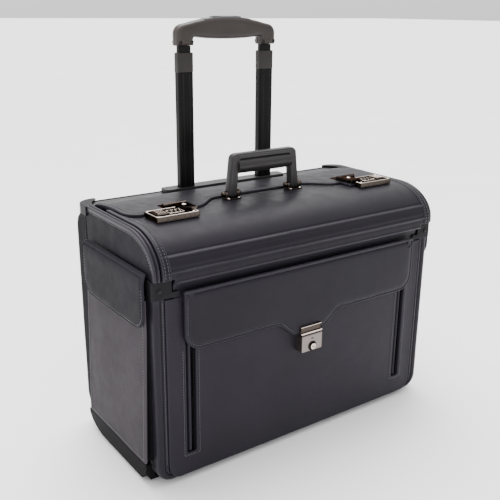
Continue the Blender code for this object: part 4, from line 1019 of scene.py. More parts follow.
def front_pocket():
    """Pocket panel with its two slots, their stitched frames and the folds inside them."""
    place = front_place(PANEL_FRONT_Y)
    outline = arc(-205.3, 31.5, 16.0, 180, 270, 7, 22.3) + arc(205.3, 31.5, 16.0, 270, 360, 7, 22.3)
    outline += [(221.3, 262.0), (195.5, 262.0), (195.5, 238.0), (-195.5, 238.0), (-195.5, 262.0), (-221.3, 262.0)]
    slot_z = (SLOT_Z[0] + SLOT_Z[1]) / 2
    slot_h = SLOT_Z[1] - SLOT_Z[0]
    holes = [rounded_rect(sign * SLOT_X, slot_z, 2 * SLOT_HALF_W, slot_h, 4.0) for _, sign in sides()]
    rings = [(0.3, -3.0), (0.0, -2.4), (0.0, -1.2), (0.3, -0.5), (0.9, -0.05), (1.6, 0.15), (2.4, 0.0)]
    panel = quilt(
        "front_pocket_cover",
        outline,
        rings,
        place,
        (9.0, 9.0),
        [FRONT_LEATHER, LINING],
        front_pocket_relief,
        holes,
        step=4.0,
        back=(30.0, 30.0),
    )
    piece(panel, "case", "leatherette", "front_pocket_panel")
    for side, sign in sides():
        left = [(sign * (SLOT_X - 11.4), 190.0), (sign * (SLOT_X - 11.4), 37.6)]
        right = [(sign * (SLOT_X + 11.6), 37.6), (sign * (SLOT_X + 11.6), 190.0)]
        lift = lambda u, v: front_pocket_relief(u, v) + 0.1
        sewn = stitches("slot_stitches_" + side, [left + right], place, lift)
        piece(sewn, "case", "leatherette")
        fold = [at(sign * (SLOT_X + 0.6), PANEL_FRONT_Y + 4.6, z) for z in range(42, 222, 10)]
        roll = cord_tube("slot_fold_" + side, fold, Vector((0, -1, 0)), 2.6, LEATHER)
        piece(roll, "case", "leatherette")
        for index, shift in enumerate((-5.2, 5.6)):
            edge = [at(sign * SLOT_X + shift, PANEL_FRONT_Y + 2.9, z) for z in range(41, 222, 10)]
            bead = cord_tube(f"slot_edge_{side}_{index}", edge, Vector((0, -1, 0)), 1.2, SHADED_LEATHER)
            piece(bead, "case", "leatherette")


def flap_outline():
    right = [(FLAP_HALF_W, FLAP_Z[1])]
    right += arc(FLAP_HALF_W - 24, FLAP_Z[0] + 24, 24, 360, 270, 10)
    right += [(FLAP_TONGUE_ROOT_X, FLAP_Z[0])]
    right += s_curve((FLAP_TONGUE_ROOT_X, FLAP_Z[0]), FLAP_TONGUE, 12)
    return right + mirrored(right)


def front_flap_relief(x, z):
    """Padded flap that rolls over at its top edge."""
    top = max(0.0, (z - 258.0) / 12.0)
    return 0.4 * waves(x, z, 90.0, 50.0, 9.0) - 1.6 * top**3


def front_flap():
    place = front_place(FLAP_FRONT_Y)
    outline = flap_outline()
    flap = quilt(
        "front_flap_cover",
        outline,
        edge_rings(4.4, 0.5, 4.4, 0.9, 8.0),
        place,
        (8.0, 6.0),
        [LEATHER, LINING],
        front_flap_relief,
        step=2.5,
        back=(20.0, 20.0),
    )
    piece(flap, "front_flap", "leatherette", "front_flap")
    line = offset(fine(outline, 2.5), 4.4 if signed_area(outline) > 0 else -4.4)
    line = [p for p in line if p[1] < 265.0]
    lift = lambda u, v: front_flap_relief(u, v) - 0.5
    sewn = stitches("front_flap_stitches", runs(line, 50.0), place, lift)
    piece(sewn, "front_flap", "leatherette")
    fold = [at(x, FLAP_FRONT_Y + 2.4, FLAP_Z[1] - 1.6) for x in range(-198, 199, 6)]
    roll = cord_tube("front_flap_fold", fold, Vector((0, 0, 1)), 2.3, PIPING, sides=14)
    piece(roll, "front_flap", "leatherette")


# ---------------------------------------------------------------- ends


def arch_outline(reach, rise, low_z, rear_y, front_y):
    outline = [(rear_y, low_z), (rear_y, ARCH_Z + rise)]
    outline += arc(ARCH_Y, ARCH_Z, reach, 90, 180, 16, rise)
    return outline + [(ARCH_Y - reach, 288.3), (front_y, 288.3), (front_y, low_z)]


RIM_X = 229.1
RIM_SECTION = [(8.8, -3.0), (8.8, 0.4), (8.3, 1.8), (7.2, 2.7), (6.0, 2.5), (5.0, 1.5), (4.4, 1.2), (3.8, 1.7)]
RIM_SECTION += [(3.0, 2.9), (1.9, 3.4), (0.8, 2.9), (0.2, 1.6), (0.1, -3.0)]


def side_relief(y, z):
    """Hollow behind the pocket and the flap, soft waves elsewhere."""
    across = min(y + 87.0, 70.0 - y)
    up = min(z - 39.0, 291.0 - z)
    hollow = soft_step(min(across, up) * 1.6)
    return -3.2 * hollow + 0.2 * (1 - hollow) * waves(y, z, 40.0, 40.0, 1.0)


def side_panel(side, sign):
    place = side_place(sign, CASE_HALF_W)
    outline = arch_outline(PANEL_REACH, PANEL_RISE, TRAY_TOP_Z, WRAP_Y - 0.3, -87.7)
    rings = [(0.8, -8.0), (0.0, -7.0), (0.0, -1.4), (0.3, -0.6), (1.0, -0.1), (1.8, 0.0)]
    panel = quilt(
        "side_panel_cover_" + side,
        outline,
        rings,
        place,
        (4.0, 4.0),
        [SIDE_LEATHER, LINING],
        side_relief,
        back=(16.0, 16.0),
    )
    piece(panel, "case", "leatherette", "side_panel_" + side)
    arch = [(WRAP_Y - 1, ARCH_Z + PANEL_RISE)] + arc(ARCH_Y, ARCH_Z, PANEL_REACH, 90, 180, 24, PANEL_RISE)
    arch = fine(arch + [(ARCH_Y - PANEL_REACH, 288.8)], 4.0, False)
    normals = inward_normals(arch, False)
    rows = []
    for (y, z), (ny, nz) in zip(arch, normals):
        rows.append([at(sign * (RIM_X + x), y - ny * h, z - nz * h) for x, h in RIM_SECTION])
    piece(sweep("side_rim_" + side, rows, [PIPING]), "case", "leatherette")
    inner = offset(arch, 4.5, False)
    sewn = stitches("side_stitches_" + side, [[p for p in inner if p[1] > 300]], place, 0.15)
    piece(sewn, "case", "leatherette")


def pocket_face_x(y, z):
    """Outer face of a side pocket: tapers upwards and swells slightly."""
    kink = SIDE_FLAP_Z[0] - 4.0
    t = clamped((z - POCKET_Z[0]) / (kink - POCKET_Z[0]))
    taper = POCKET_X[0] + (POCKET_X[1] - POCKET_X[0]) * t
    across = max(0.0, 1 - ((y + 12.0) / 86.0) ** 4)
    return taper + 1.2 * across * math.sin(math.pi * t) - 0.6


def side_pocket(side, sign):
    place = side_place(sign, pocket_face_x)
    low_y, high_y = POCKET_Y
    base_z, top_z = POCKET_Z
    outline = arc(low_y + 4, base_z + 4, 4, 180, 270, 4) + arc(high_y - 4, base_z + 4, 4, 270, 360, 4)
    outline += [(high_y, top_z), (low_y, top_z)]
    rings = [(0.4, -2.4), (0.0, -1.9), (0.0, -1.0), (0.3, -0.4), (0.9, 0.0), (1.8, 0.15), (3.0, 0.0)]
    wall = quilt(
        "side_pocket_cover_" + side,
        outline,
        rings,
        place,
        (8.0, 8.0),
        [POCKET_LEATHER, LINING],
        lambda y, z: 0.45 * waves(y, z, 55.0, 70.0, 3.0 * sign),
        step=4.0,
    )
    piece(wall, "case", "leatherette", "side_pocket_" + side)
    path = [(low_y + 0.8, top_z)] + arc(low_y + 5, base_z + 5, 4.2, 180, 270, 5)
    path += arc(high_y - 5, base_z + 5, 4.2, 270, 360, 5) + [(high_y - 0.8, top_z)]
    path = fine(path, 6.0, False)
    normals = inward_normals(path, False)
    root_x = CASE_HALF_W + 0.3
    rows = []
    for (y, z), (ny, nz) in zip(path, normals):
        rim_x = pocket_face_x(y, z) - 1.6
        row = []
        for depth, share in ((0.0, 0.0), (0.5, 0.25), (1.2, 0.5), (0.5, 0.75), (0.0, 1.0)):
            row.append(at(sign * (root_x + (rim_x - root_x) * share), y + ny * depth, z + nz * depth))
        for share in (1.0, 0.0):
            row.append(at(sign * (root_x + (rim_x - root_x) * share), y + ny * 2.2, z + nz * 2.2))
        rows.append(row)
    gusset = sweep("side_pocket_gusset_" + side, rows, [SHADED_LEATHER])
    piece(gusset, "case", "leatherette")
    border = offset(path, 4.0, False)
    sewn = stitches("side_pocket_stitches_" + side, [border], place, 0.1)
    piece(sewn, "case", "leatherette")


def side_flap_face_x(y, z):
    """Outer face of a side flap: flat, then rolled in to the end wall along its top."""
    t = clamped((z - SIDE_FLAP_ROLL_Z) / (SIDE_FLAP_Z[1] - SIDE_FLAP_ROLL_Z))
    return SIDE_FLAP_X - 8.0 * (1 - math.sqrt(max(0.0, 1 - t**2.6)))


def side_flap(side, sign):
    place = side_place(sign, side_flap_face_x)
    low_y, high_y = SIDE_FLAP_Y
    base_z, top_z = SIDE_FLAP_Z
    outline = arc(low_y + 27, base_z + 27, 27, 180, 270, 10)
    outline += arc(high_y - 27, base_z + 27, 27, 270, 360, 10)
    outline += arc(high_y - 6, top_z - 6.5, 6, 0, 90, 4) + arc(low_y + 6, top_z - 6.5, 6, 90, 180, 4)
    rings = [(0.5, -2.6), (0.0, -2.0), (0.0, -1.2), (0.3, -0.4), (0.9, 0.1)]
    rings += [(1.8, 0.5), (2.7, 0.35), (3.3, -0.1), (3.9, -0.55), (4.5, -0.1), (6.0, 0.25)]
    flap = quilt(
        "side_flap_cover_" + side,
        outline,
        rings,
        place,
        (6.0, 2.5),
        [SIDE_LEATHER, LINING],
        lambda y, z: 0.5 * waves(y, z, 45.0, 45.0, 7.0 * sign),
        step=2.5,
    )
    piece(flap, "side_flap_" + side, "leatherette", "side_flap_" + side)
    line = [p for p in offset(fine(outline, 2.5), 3.9) if p[1] < 280]
    turn = next(i for i in range(len(line)) if math.dist(line[i], line[i - 1]) > 50)
    line = line[turn:] + line[:turn]
    sewn = stitches("side_flap_stitches_" + side, [line], place, -0.4)
    piece(sewn, "side_flap_" + side, "leatherette")


# ---------------------------------------------------------------- rear


def rear_relief(t, z):
    """Raised middle field over the trolley tubes, pressed grooves round it, and swollen corners."""
    reach = abs(t)
    edge = min(112.0 - reach, min(z - 52.0, 322.0 - z))
    field = soft_step(edge * 1.2)
    free = max(0.0, min(1.0, (BRACKET_BASE_Z - z) / 12.0, (z - 34.0) / 12.0))
    swell = 2.0 * free * math.exp(-(((reach - WRAP_CORNER) / 16.0) ** 2))
    return 1.3 * field + swell - bump_line(edge, 0.9, 1.6) + 0.25 * waves(t, z, 80.0, 60.0, 4.0)


def rear_wall():
    outline = rounded_rect(0, (TRAY_TOP_Z + REAR_TOP_Z) / 2, 2 * WRAP_HALF, REAR_TOP_Z - TRAY_TOP_Z, 2.0, 2)
    rings = edge_rings(5.5, 0.2, 4.2, 0.3, 3.0)
    # The rear wall takes the darker copy of the leatherette: painted shade.
    wall = quilt(
        "rear_wall_cover",
        outline,
        rings,
        wrap_place,
        (3.0, 5.0),
        [SHADED_REAR_LEATHER, LINING],
        rear_relief,
        step=4.0,
        back=(9.0, 40.0),
    )
    piece(wall, "case", "leatherette", "rear_panel")
    lines = [offset(fine(outline, 4.0), 4.2), rounded_rect(0, 187.0, 212.0, 258.0, 3.0)]
    sewn = stitches("rear_stitches", lines, wrap_place, lambda t, z: rear_relief(t, z) - 0.3, closed=True)
    piece(sewn, "case", "leatherette")


# ---------------------------------------------------------------- carry handle


def handle_outline():
    right = [(42.1, 397.0), (43.6, 395.5), (47.5, 355.5)]
    right += arc(54.55, 349.5, 7.05, 180, 360, 10, 4.2)
    right += arc(47.5, 396.5, 9.0, 0, 85, 8)
    return right + mirrored(right)


HANDLE_STITCH_BASE_Z = 362.0


def carry_handle():
    """Stitched leather frame, double-sided, and the padded roll between its posts."""
    place = front_place(HANDLE_Y[0])
    rings = [(2.4, -12.0), (1.2, -11.8), (0.35, -11.1), (0.0, -9.8), (0.0, -2.2), (0.35, -0.9), (1.2, -0.2)]
    rings += [(2.2, 0.05)]
    shell = quilt("handle_cover", handle_outline(), rings, place, (4.0, 4.0), [HANDLE_LEATHER], step=2.0)
    piece(shell, "carry_handle", "leatherette", "handle_frame")
    border = offset(fine(handle_outline(), 2.0), 2.9 if signed_area(handle_outline()) > 0 else -2.9)
    border = [p for p in border if p[1] > HANDLE_STITCH_BASE_Z]
    border = runs(border, 6.0)
    front = stitches("handle_stitches_front", border, place, 0.1, 3.4, 2.4, 0.34)
    piece(front, "carry_handle", "leatherette")
    rear_side = lambda x, z, h: at(x, HANDLE_Y[1] + h, z)
    rear = stitches("handle_stitches_rear", border, rear_side, 0.1, 3.4, 2.4, 0.34)
    piece(rear, "carry_handle", "leatherette")
    rows = []
    middle_y = (HANDLE_Y[0] + HANDLE_Y[1]) / 2
    for i in range(49):
        t = -1 + 2 * i / 48
        x = ROLL_HALF_L * math.sin(t * math.pi / 2)
        edge = abs(x) / ROLL_HALF_L
        radius = ROLL_R * (1 - 0.05 * edge**10) * (1 - 0.02 * math.cos(x / 5.5) * edge**3)
        row = []
        for angle in round_angles(36):
            seam = 1 - 0.07 * math.exp(-(((angle - 1.5 * math.pi) / 0.12) ** 2))
            wrinkle = 1 + 0.012 * noise.noise(Vector((x / 9.0, angle * 2, 0)))
            spread = radius * seam * wrinkle
            row.append(at(x, middle_y + spread * math.cos(angle), ROLL_Z + spread * math.sin(angle)))
        rows.append(row)
    roll = sweep("handle_roll", rows, [HANDLE_LEATHER])
    piece(roll, "carry_handle", "leatherette", "handle_grip")
    for side, sign in sides():
        for index, x in enumerate((41.6, 67.4)):
            dome = [(0.01, -2.6), (2.2, -2.5), (3.5, -1.6), (4.0, 0.0), (3.5, 1.7), (2.2, 2.6), (0.01, 2.9)]
            if sign * (x - 50) < 0:
                dome = [(r, -d) for r, d in reversed(dome)]
            knob = turned(f"handle_knob_{side}_{index}", dome, at(sign * x, -4.0, 350.4), "x", NICKEL, 24)
            piece(knob, "front_lid", "gunmetal")
            screw = turned(
                f"bracket_rivet_{side}_{index}",
                [(2.2, 0.0), (2.2, 0.4), (1.6, 0.9), (0.01, 1.1)],
                at(sign * (54.5 + 8.4 * (2 * index - 1)), -11.0, 344.6),
                "z",
                BRIGHT,
                20,
            )
            piece(screw, "front_lid", "gunmetal")
        recoat("handle_bracket_" + side, NICKEL, 0.5)


# ---------------------------------------------------------------- locks


DIGITS = "0123456789"


def dial(side, sign, index):
    """Number wheel: knurled rims, a smooth band and ten numbers on it."""
    x = sign * (161.5 + 6.0 * index)
    centre = at(x, -44.0, 348.6)
    steps = 80
    rows = []
    for along, radius, teeth in (
        (-2.05, 3.2, 0.0),
        (-2.05, 3.9, 0.25),
        (-1.5, 4.2, 0.32),
        (-1.3, 4.05, 0.0),
        (1.3, 4.05, 0.0),
        (1.5, 4.2, 0.32),
        (2.05, 3.9, 0.25),
        (2.05, 3.2, 0.0),
    ):
        row = []
        for angle in round_angles(steps):
            spread = radius - teeth * (0.5 + 0.5 * math.cos(angle * 20))
            row.append(centre + Vector((along, spread * math.cos(angle), spread * math.sin(angle))) * MM)
        rows.append(row)
    wheel = sweep(f"dial_wheel_{side}_{index + 1}", rows, [NICKEL])
    body = f"dial_{side}_{index + 1}"
    piece(wheel, body, "nickel", body)
    bm = bmesh.new()
    for digit, text in enumerate(DIGITS):
        curve = bpy.data.curves.new("digit", "FONT")
        curve.body = text
        curve.size = 2.2 * MM
        curve.align_x = "CENTER"
        curve.align_y = "CENTER"
        curve.extrude = 0.06 * MM
        holder = add_object("digit", curve)
        bpy.context.view_layer.update()
        mesh = bpy.data.meshes.new_from_object(holder.evaluated_get(bpy.context.evaluated_depsgraph_get()))
        angle = 2 * math.pi * digit / len(DIGITS)
        lift = Matrix.Translation((0, 0, 4.08 * MM))
        mesh.transform(Matrix.Translation(centre) @ Matrix.Rotation(angle, 4, "X") @ lift)
        bm.from_mesh(mesh)
        bpy.data.objects.remove(holder)
        bpy.data.curves.remove(curve)
        bpy.data.meshes.remove(mesh)
    numbers = finish_mesh(f"dial_numbers_{side}_{index + 1}", bm, [INK])
    piece(numbers, body, "nickel")


def lock(side, sign):
    recoat("lock_body_" + side, GUNMETAL, 0.9)
    recoat("lock_slide_" + side, NICKEL, 0.0)
    recoat("hasp_" + side, NICKEL, 0.55)
    recoat("hasp_plate_" + side, NICKEL, 0.4)
    middle_x = sign * 171.0
    ring = rounded_rect(middle_x, -43.5, 59.6, 32.6, 1.4, 3)
    path = [at(x, y, LOCK_TOP_Z) for x, y in fine(ring, 3.0)]
    notch = [p for p in path if not (sign * p.x / MM < 156.9 and p.y / MM - ORIGIN_Y > -47.6)]
    turn = next((i for i in range(len(notch)) if (notch[i] - notch[i - 1]).length > 8 * MM), 0)
    notch = notch[turn:] + notch[:turn]
    rim = cord_tube("lock_rim_" + side, notch, Vector((0, 0, 1)), 0.75, BRIGHT, sides=8)
    piece(rim, "front_lid", "gunmetal")
    frame_outline = rounded_rect(sign * 167.5, -44.0, 20.4, 13.6, 1.0, 3)
    window = [at(x, y, 350.1) for x, y in fine(frame_outline, 2.0)]
    edge = cord_tube("dial_window_" + side, window, Vector((0, 0, 1)), 0.55, BRIGHT, closed=True, sides=8)
    piece(edge, "front_lid", "gunmetal")
    for index in range(4):
        groove_x = sign * (184.0 + 3.0 * index)
        ridge = [at(groove_x, y, 351.75) for y in (-51.0, -47.0, -43.5, -40.0, -36.0)]
        rib = cord_tube(f"slide_rib_{side}_{index}", ridge, Vector((0, 0, 1)), 0.5, BRIGHT, sides=8)
        piece(rib, "lock_slide_" + side, "nickel")
    for index, (x, y) in enumerate(((146.0, -55.0), (199.0, -58.0), (199.0, -29.0))):
        head = [(1.5, 0.0), (1.5, 0.25), (1.1, 0.55), (0.01, 0.7)]
        rivet = turned(f"lock_rivet_{side}_{index}", head, at(sign * x, y, LOCK_TOP_Z), "z", BRIGHT, 18)
        piece(rivet, "front_lid", "gunmetal")
    for index in range(3):
        dial(side, sign, index)
    boss = turned(
        "hasp_boss_" + side,
        [(3.2, 0.0), (3.2, 0.5), (2.5, 1.3), (1.3, 1.7), (0.01, 1.8)],
        at(sign * 144.5, -28.0, 352.1),
        "z",
        BRIGHT,
        24,
    )
    piece(boss, "hasp_" + side, "nickel")


LIP_HALF_W = 18.4


def key_lock():
    recoat("pocket_lock_body", SATIN, 0.0)
    recoat("flap_catch", GUNMETAL, 0.0)
    recoat("pocket_lock_barrel", BRIGHT, 0.35)
    angles = [i * math.pi / 16 for i in range(32)]
    ring = [at(6.6 * math.cos(a), -126.1, KEY_Z + 6.6 * math.sin(a)) for a in angles]
    collar = cord_tube("key_collar", ring, Vector((0, -1, 0)), 0.8, GUNMETAL, closed=True, sides=10)
    piece(collar, "case", "nickel")
    # A near-black disc in the key well: painted shade.
    disc = [(5.9, 0.0), (5.9, 0.25), (4.8, 0.3), (0.01, 0.3)]
    well = turned("key_well_painted_shade", disc, at(0, -126.0, KEY_Z), "y", DARK, 32)
    piece(well, "case", "nickel")
    notch = solid("key_lock_mark", rounded_rect(0, 161.0, 4.4, 1.6, 0.7, 3), "y", -126.2, -125.0, DARK, 0.0)
    piece(notch, "case", "nickel")
    bars = (("catch_lip", 168.2, 2.4, -124.6), ("catch_ridge", 178.5, 1.0, -123.2))
    for name, base_z, height, front_y in bars:
        bar = rounded_rect(0, base_z + height / 2, 2 * LIP_HALF_W, height, 0.3, 2)
        piece(solid(name, bar, "y", front_y, -119.6, BRIGHT, 0.2), "front_flap", "nickel")


# ---------------------------------------------------------------- trolley


def flat_oval(middle_x, width, depth, roundness=0.24):
    return rounded_rect(middle_x, TUBE_Y, width, depth, depth * roundness, 6)


def trolley():
    for side, sign in sides():
        middle = sign * TUBE_X
        recoat("stage1_tube_" + side, TUBE)
        recoat("stage2_tube_" + side, TUBE)
        low, high = COLLAR_Z
        sections = [(24.6, 13.6, low), (24.9, 13.9, low + 0.1), (25.1, 14.1, low + 0.8)]
        sections += [(25.1, 14.1, high - 1.2), (24.7, 13.7, high - 0.2), (22.0, 11.4, high + 0.3), (20.2, 10.2, high + 0.3)]
        sections += [(20.0, 10.0, high - 1.0)]
        rows = [[at(x, y, z) for x, y in flat_oval(middle, w, d)] for w, d, z in sections]
        collar = sweep("trolley_collar_" + side, rows, [COLLAR_PLASTIC], caps=False)
        piece(collar, "trolley_lower", "black_aluminium")
        # Thin near-black tubes laid along the tube's grooves: painted shade.
        for index, shift in enumerate((-5.2, 5.2)):
            line = [at(middle + shift, TUBE_Y - 6.72, z) for z in GROOVE_Z]
            groove = cord_tube(f"tube_groove_{side}_{index}", line, Vector((0, -1, 0)), 0.38, DARK, sides=8)
            piece(groove, "trolley_lower", "black_aluminium")
        bead = [at(middle, TUBE_Y - 6.6, z) for z in GROOVE_Z]
        rib = cord_tube("tube_rib_" + side, bead, Vector((0, -1, 0)), 0.45, TUBE, sides=8)
        piece(rib, "trolley_lower", "black_aluminium")
        pin = [(2.1, 0.0), (2.1, 0.1), (1.5, 0.2), (0.01, 0.25)]
        pin = [(r, -d) for r, d in pin]
        stud = turned("tube_pin_" + side, pin, at(middle, TUBE_Y - 6.75, 500.0), "y", TUBE, 20)
        piece(stud, "trolley_lower", "black_aluminium")
        head = [(2.6, 0.3), (2.6, -0.3), (1.9, -0.8), (0.6, -0.9), (0.01, -0.4)]
        screw = turned("grip_screw_" + side, head, at(middle, TUBE_Y - 10.0, 550.5), "y", GUNMETAL, 20)
        piece(screw, "trolley_upper", "grip_plastic")
    trolley_grip()
    recoat("trolley_button", BLACK_PLASTIC)
    recoat("trolley_bezel", BLACK_PLASTIC, 1.2)
    recoat("trolley_guide_frame", TUBE, 0.6)
    ribs = [[at(x, TUBE_Y + 4.6 * k, 584.6) for x in (-20.0, -7.0, 7.0, 20.0)] for k in (-0.7, 0.0, 0.7)]
    for index, path in enumerate(ribs):
        rib = cord_tube(f"button_rib_{index}", path, Vector((0, 0, 1)), 0.5, BLACK_PLASTIC, sides=8)
        piece(rib, "trolley_button", "black_plastic")


def trolley_grip():
    """Arched grip: wide soft edges, a parting line, and legs over the inner tubes."""
    right = [(0.0, 553.4), (16.0, 553.6), (32.0, 554.2), (46.0, 555.4), (53.0, 556.4)]
    right += arc(55.6, 553.8, 2.4, 70, 0, 3)
    right += [(58.0, 545.0), (84.5, 545.0), (84.5, 560.0)]
    right += arc(70.5, 560.5, 14.0, 0, 72, 8)
    right += [(x, 584.0 - 9.6 * (x / 70.0) ** 2) for x in (66.0, 56.0, 46.0, 36.0, 26.0, 16.0, 6.0)]
    outline = right + [(-x, z) for x, z in reversed(right) if x > 0]
    place = lambda x, z, h: at(x, TUBE_Y - 10.0 - h, z)
    rings = [(6.5, -20.0), (4.2, -19.7), (2.2, -18.9), (0.8, -17.2), (0.1, -14.6), (0.0, -10.6), (0.7, -10.3)]
    rings += [(0.7, -9.7), (0.0, -9.4), (0.1, -5.4), (0.8, -2.8), (2.2, -1.1), (4.2, -0.3), (6.5, 0.0)]
    grip = quilt("trolley_grip_cover", outline, rings, place, (4.0, 4.0), [GRIP_PLASTIC], step=1.6)
    piece(grip, "trolley_upper", "grip_plastic", "trolley_grip")
    rows = []
    for x in range(-40, 41, 5):
        top = 584.35 - 9.6 * (x / 70.0) ** 2
        row = [at(x, TUBE_Y - 8.2, top - 3.0)]
        for j in range(9):
            y = TUBE_Y - 8.2 + 16.4 * j / 8
            row.append(at(x, y, top - 0.9 * abs(j / 4 - 1) ** 3))
        rows.append(row + [at(x, TUBE_Y + 8.2, top - 3.0)])
    surround = sweep("button_surround", rows, [BLACK_PLASTIC])
    piece(surround, "trolley_upper", "grip_plastic")


# ---------------------------------------------------------------- brackets, rails, tray and wheels


def screw_head(name, centre, body, slot):
    """Sunk cross-head screw facing the front."""
    dish = [(4.2, 0.4), (4.2, -0.5), (3.6, -0.9), (2.9, -0.4), (0.01, -0.35)]
    washer = turned(name + "_dish", dish, centre, "y", BRACKET_METAL, 28)
    piece(washer, body, slot)
    dome = [(2.5, 0.0), (2.5, -0.6), (1.8, -1.1), (0.01, -1.3)]
    head = turned(name + "_head", dome, centre, "y", DARK, 24)
    piece(head, body, slot)


def hardware():
    for side, sign in sides():
        recoat("front_bracket_" + side, BRACKET_METAL, 0.9)
        recoat("rear_bracket_" + side, BRACKET_METAL, 0.9)
        screw_head("front_bracket_screw_" + side, at(sign * 229.5, -113.1, 275.5), "case", "gunmetal")
        recoat("wheel_housing_" + side, BLACK_PLASTIC, 0.6)
        recoat("axle_" + side, STEEL)
        recoat("front_foot_" + side, RUBBER, 0.9)
        wheel(side, sign)
    recoat("front_hinge_rail", LEATHER, 2.5, 4)
    recoat("rear_hinge_rail", BLACK_PLASTIC, 0.8)
    recoat("base_tray", TRAY_PLASTIC, 0.7)
    recoat("front_board", LINING, 0.5)
    recoat("trolley_cover_board", LINING, 0.5)


def on_axle(centre, along, radius, angle):
    return centre + Vector((along, radius * math.cos(angle), radius * math.sin(angle))) * MM


def axle_rows(centre, profile, steps):
    """Closed rings round an axle; profile holds (radius, distance along the axle) in millimetres."""
    return [[on_axle(centre, along, radius, a) for a in round_angles(steps)] for radius, along in profile]


def wheel(side, sign):
    """Tyre with rounded shoulders and tread grooves, on a hub with six openings."""
    centre = at(sign * WHEEL_AXLE[0], *WHEEL_AXLE[1:])
    body = "wheel_" + side
    tyre = [(12.4, -9.6), (15.5, -10.0), (17.8, -9.4), (18.8, -7.6)]
    for groove in (-4.5, 0.0, 4.5):
        tyre += [(19.0, groove - 1.0), (18.4, groove - 0.5), (18.4, groove + 0.5), (19.0, groove + 1.0)]
    tyre += [(18.8, 7.6), (17.8, 9.4), (15.5, 10.0), (12.4, 9.6)]
    rows = axle_rows(centre, tyre + [(12.3, 9.0), (12.3, -9.0)], 64)
    piece(sweep(f"tyre_{side}", rows, [RUBBER], closed=True), body, "rubber", "wheel_tyre_" + side)
    hub = [(3.3, -9.9), (5.2, -9.9), (5.6, -9.2), (5.8, -6.0), (10.0, -6.0), (10.4, -9.0), (12.0, -9.4)]
    hub += [(12.0, 9.4), (10.4, 9.0), (10.0, 6.0), (5.8, 6.0), (5.6, 9.2), (5.2, 9.9), (3.3, 9.9)]
    rows = axle_rows(centre, hub, 48)
    piece(sweep(f"hub_{side}", rows, [BLACK_PLASTIC], closed=True), body, "black_plastic", "wheel_hub_" + side)
    for index in range(6):
        angle = math.pi / 3 * index
        for face in (-1, 1):
            points = [on_axle(centre, face * 6.4, radius, angle) for radius in (5.4, 7.5, 10.3)]
            name = f"spoke_{side}_{index}_{face + 1}"
            spoke = cord_tube(name, points, Vector((1, 0, 0)), 1.2, BLACK_PLASTIC, sides=8)
            piece(spoke, body, "black_plastic")


# ---------------------------------------------------------------- stage


CAMERA_PLACE = (-0.61324, -0.82283, 0.59511)
CAMERA_YAW = 35.556
CAMERA_PITCH = 18.199
CAMERA_ROLL = 0.542
CAMERA_LENS = 52.85
FLOOR_HALF = 40.0
SUN_FROM = (0.16, 0.42, 0.89)
SUN_STRENGTH = 4.2
SUN_SPREAD = 55.0
WORLD_BRIGHT_SIDE = (0.0, 0.15, 0.99)
WORLD_STRENGTH = (1.0, 2.3)


def add_camera():
    yaw = math.radians(CAMERA_YAW)
    pitch = math.radians(CAMERA_PITCH)
    roll = math.radians(CAMERA_ROLL)
    look = Vector((math.sin(yaw) * math.cos(pitch), math.cos(yaw) * math.cos(pitch), -math.sin(pitch)))
    right = Vector((math.cos(yaw), -math.sin(yaw), 0.0))
    up = right.cross(look)
    x_axis = math.cos(roll) * right + math.sin(roll) * up
    y_axis = -math.sin(roll) * right + math.cos(roll) * up
    matrix = Matrix((x_axis, y_axis, -look)).transposed().to_4x4()
    matrix.translation = Vector(CAMERA_PLACE)
    data = bpy.data.cameras.new("camera")
    data.lens = CAMERA_LENS
    data.sensor_width = 36.0
    camera = add_object("camera", data)
    camera.matrix_world = matrix
    bpy.context.scene.camera = camera


def soft_light(name, place, target, size, power, colour=(1.0, 1.0, 1.0)):
    data = bpy.data.lights.new(name, "AREA")
    data.shape = "RECTANGLE"
    data.size = size[0]
    data.size_y = size[1]
    data.energy = power
    data.color = colour
    lamp = add_object(name, data)
    lamp.location = place
    direction = Vector(target) - Vector(place)
    lamp.rotation_euler = direction.to_track_quat("-Z", "Y").to_euler()


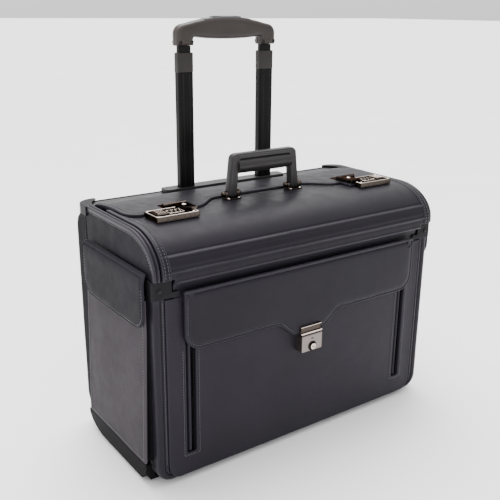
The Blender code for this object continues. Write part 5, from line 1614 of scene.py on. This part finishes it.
def stage():
    bm = bmesh.new()
    half = FLOOR_HALF
    corners = [(-half, -half), (half, -half), (half, half), (-half, half)]
    bm.faces.new([bm.verts.new((x, y, 0.0)) for x, y in corners])
    g = Graph("floor")
    speckle = g.ramp(g.noise(3.0, 4.0), 0.3, 0.7)
    g.colour(g.blend(speckle, (0.90, 0.90, 0.90, 1.0), (0.94, 0.94, 0.94, 1.0)))
    g.shader.inputs["Roughness"].default_value = 0.7
    floor = finish_mesh("floor", bm, [g.material])
    studio_world()
    sun = bpy.data.lights.new("soft_sun", "SUN")
    sun.energy = SUN_STRENGTH
    sun.angle = math.radians(SUN_SPREAD)
    lamp = add_object("soft_sun", sun)
    lamp.rotation_euler = Vector(SUN_FROM).to_track_quat("Z", "Y").to_euler()
    soft_light("top_light", (-0.15, 0.45, 1.9), (0.0, 0.05, 0.3), (1.3, 0.7), 9.0)
    soft_light("left_light", (-1.9, -0.1, 1.0), (0.0, 0.0, 0.25), (0.8, 1.4), 1.0)
    soft_light("front_light", (-0.3, -1.9, 0.9), (0.0, 0.0, 0.2), (1.2, 0.8), 2.6)


def studio_world():
    """White surroundings, brighter overhead."""
    world = bpy.data.worlds.new("studio")
    world.use_nodes = True
    tree = world.node_tree
    background = tree.nodes["Background"]
    background.inputs["Color"].default_value = (1.0, 1.0, 1.0, 1.0)
    direction = tree.nodes.new("ShaderNodeTexCoord").outputs["Generated"]
    dot = tree.nodes.new("ShaderNodeVectorMath")
    dot.operation = "DOT_PRODUCT"
    tree.links.new(direction, dot.inputs[0])
    dot.inputs[1].default_value = WORLD_BRIGHT_SIDE
    ramp = tree.nodes.new("ShaderNodeMapRange")
    tree.links.new(dot.outputs["Value"], ramp.inputs["Value"])
    ramp.inputs["From Min"].default_value = 0.0
    ramp.inputs["From Max"].default_value = 0.9
    ramp.inputs["To Min"].default_value = WORLD_STRENGTH[0]
    ramp.inputs["To Max"].default_value = WORLD_STRENGTH[1]
    tree.links.new(ramp.outputs["Result"], background.inputs["Strength"])
    bpy.context.scene.world = world


add_camera()
front_lid()
rear_lid()
hinge_strip()
front_frame()
front_pocket()
front_flap()
for side_name, side_sign in sides():
    side_panel(side_name, side_sign)
    side_pocket(side_name, side_sign)
    side_flap(side_name, side_sign)
    lock(side_name, side_sign)
rear_wall()
carry_handle()
key_lock()
trolley()
hardware()
stage()
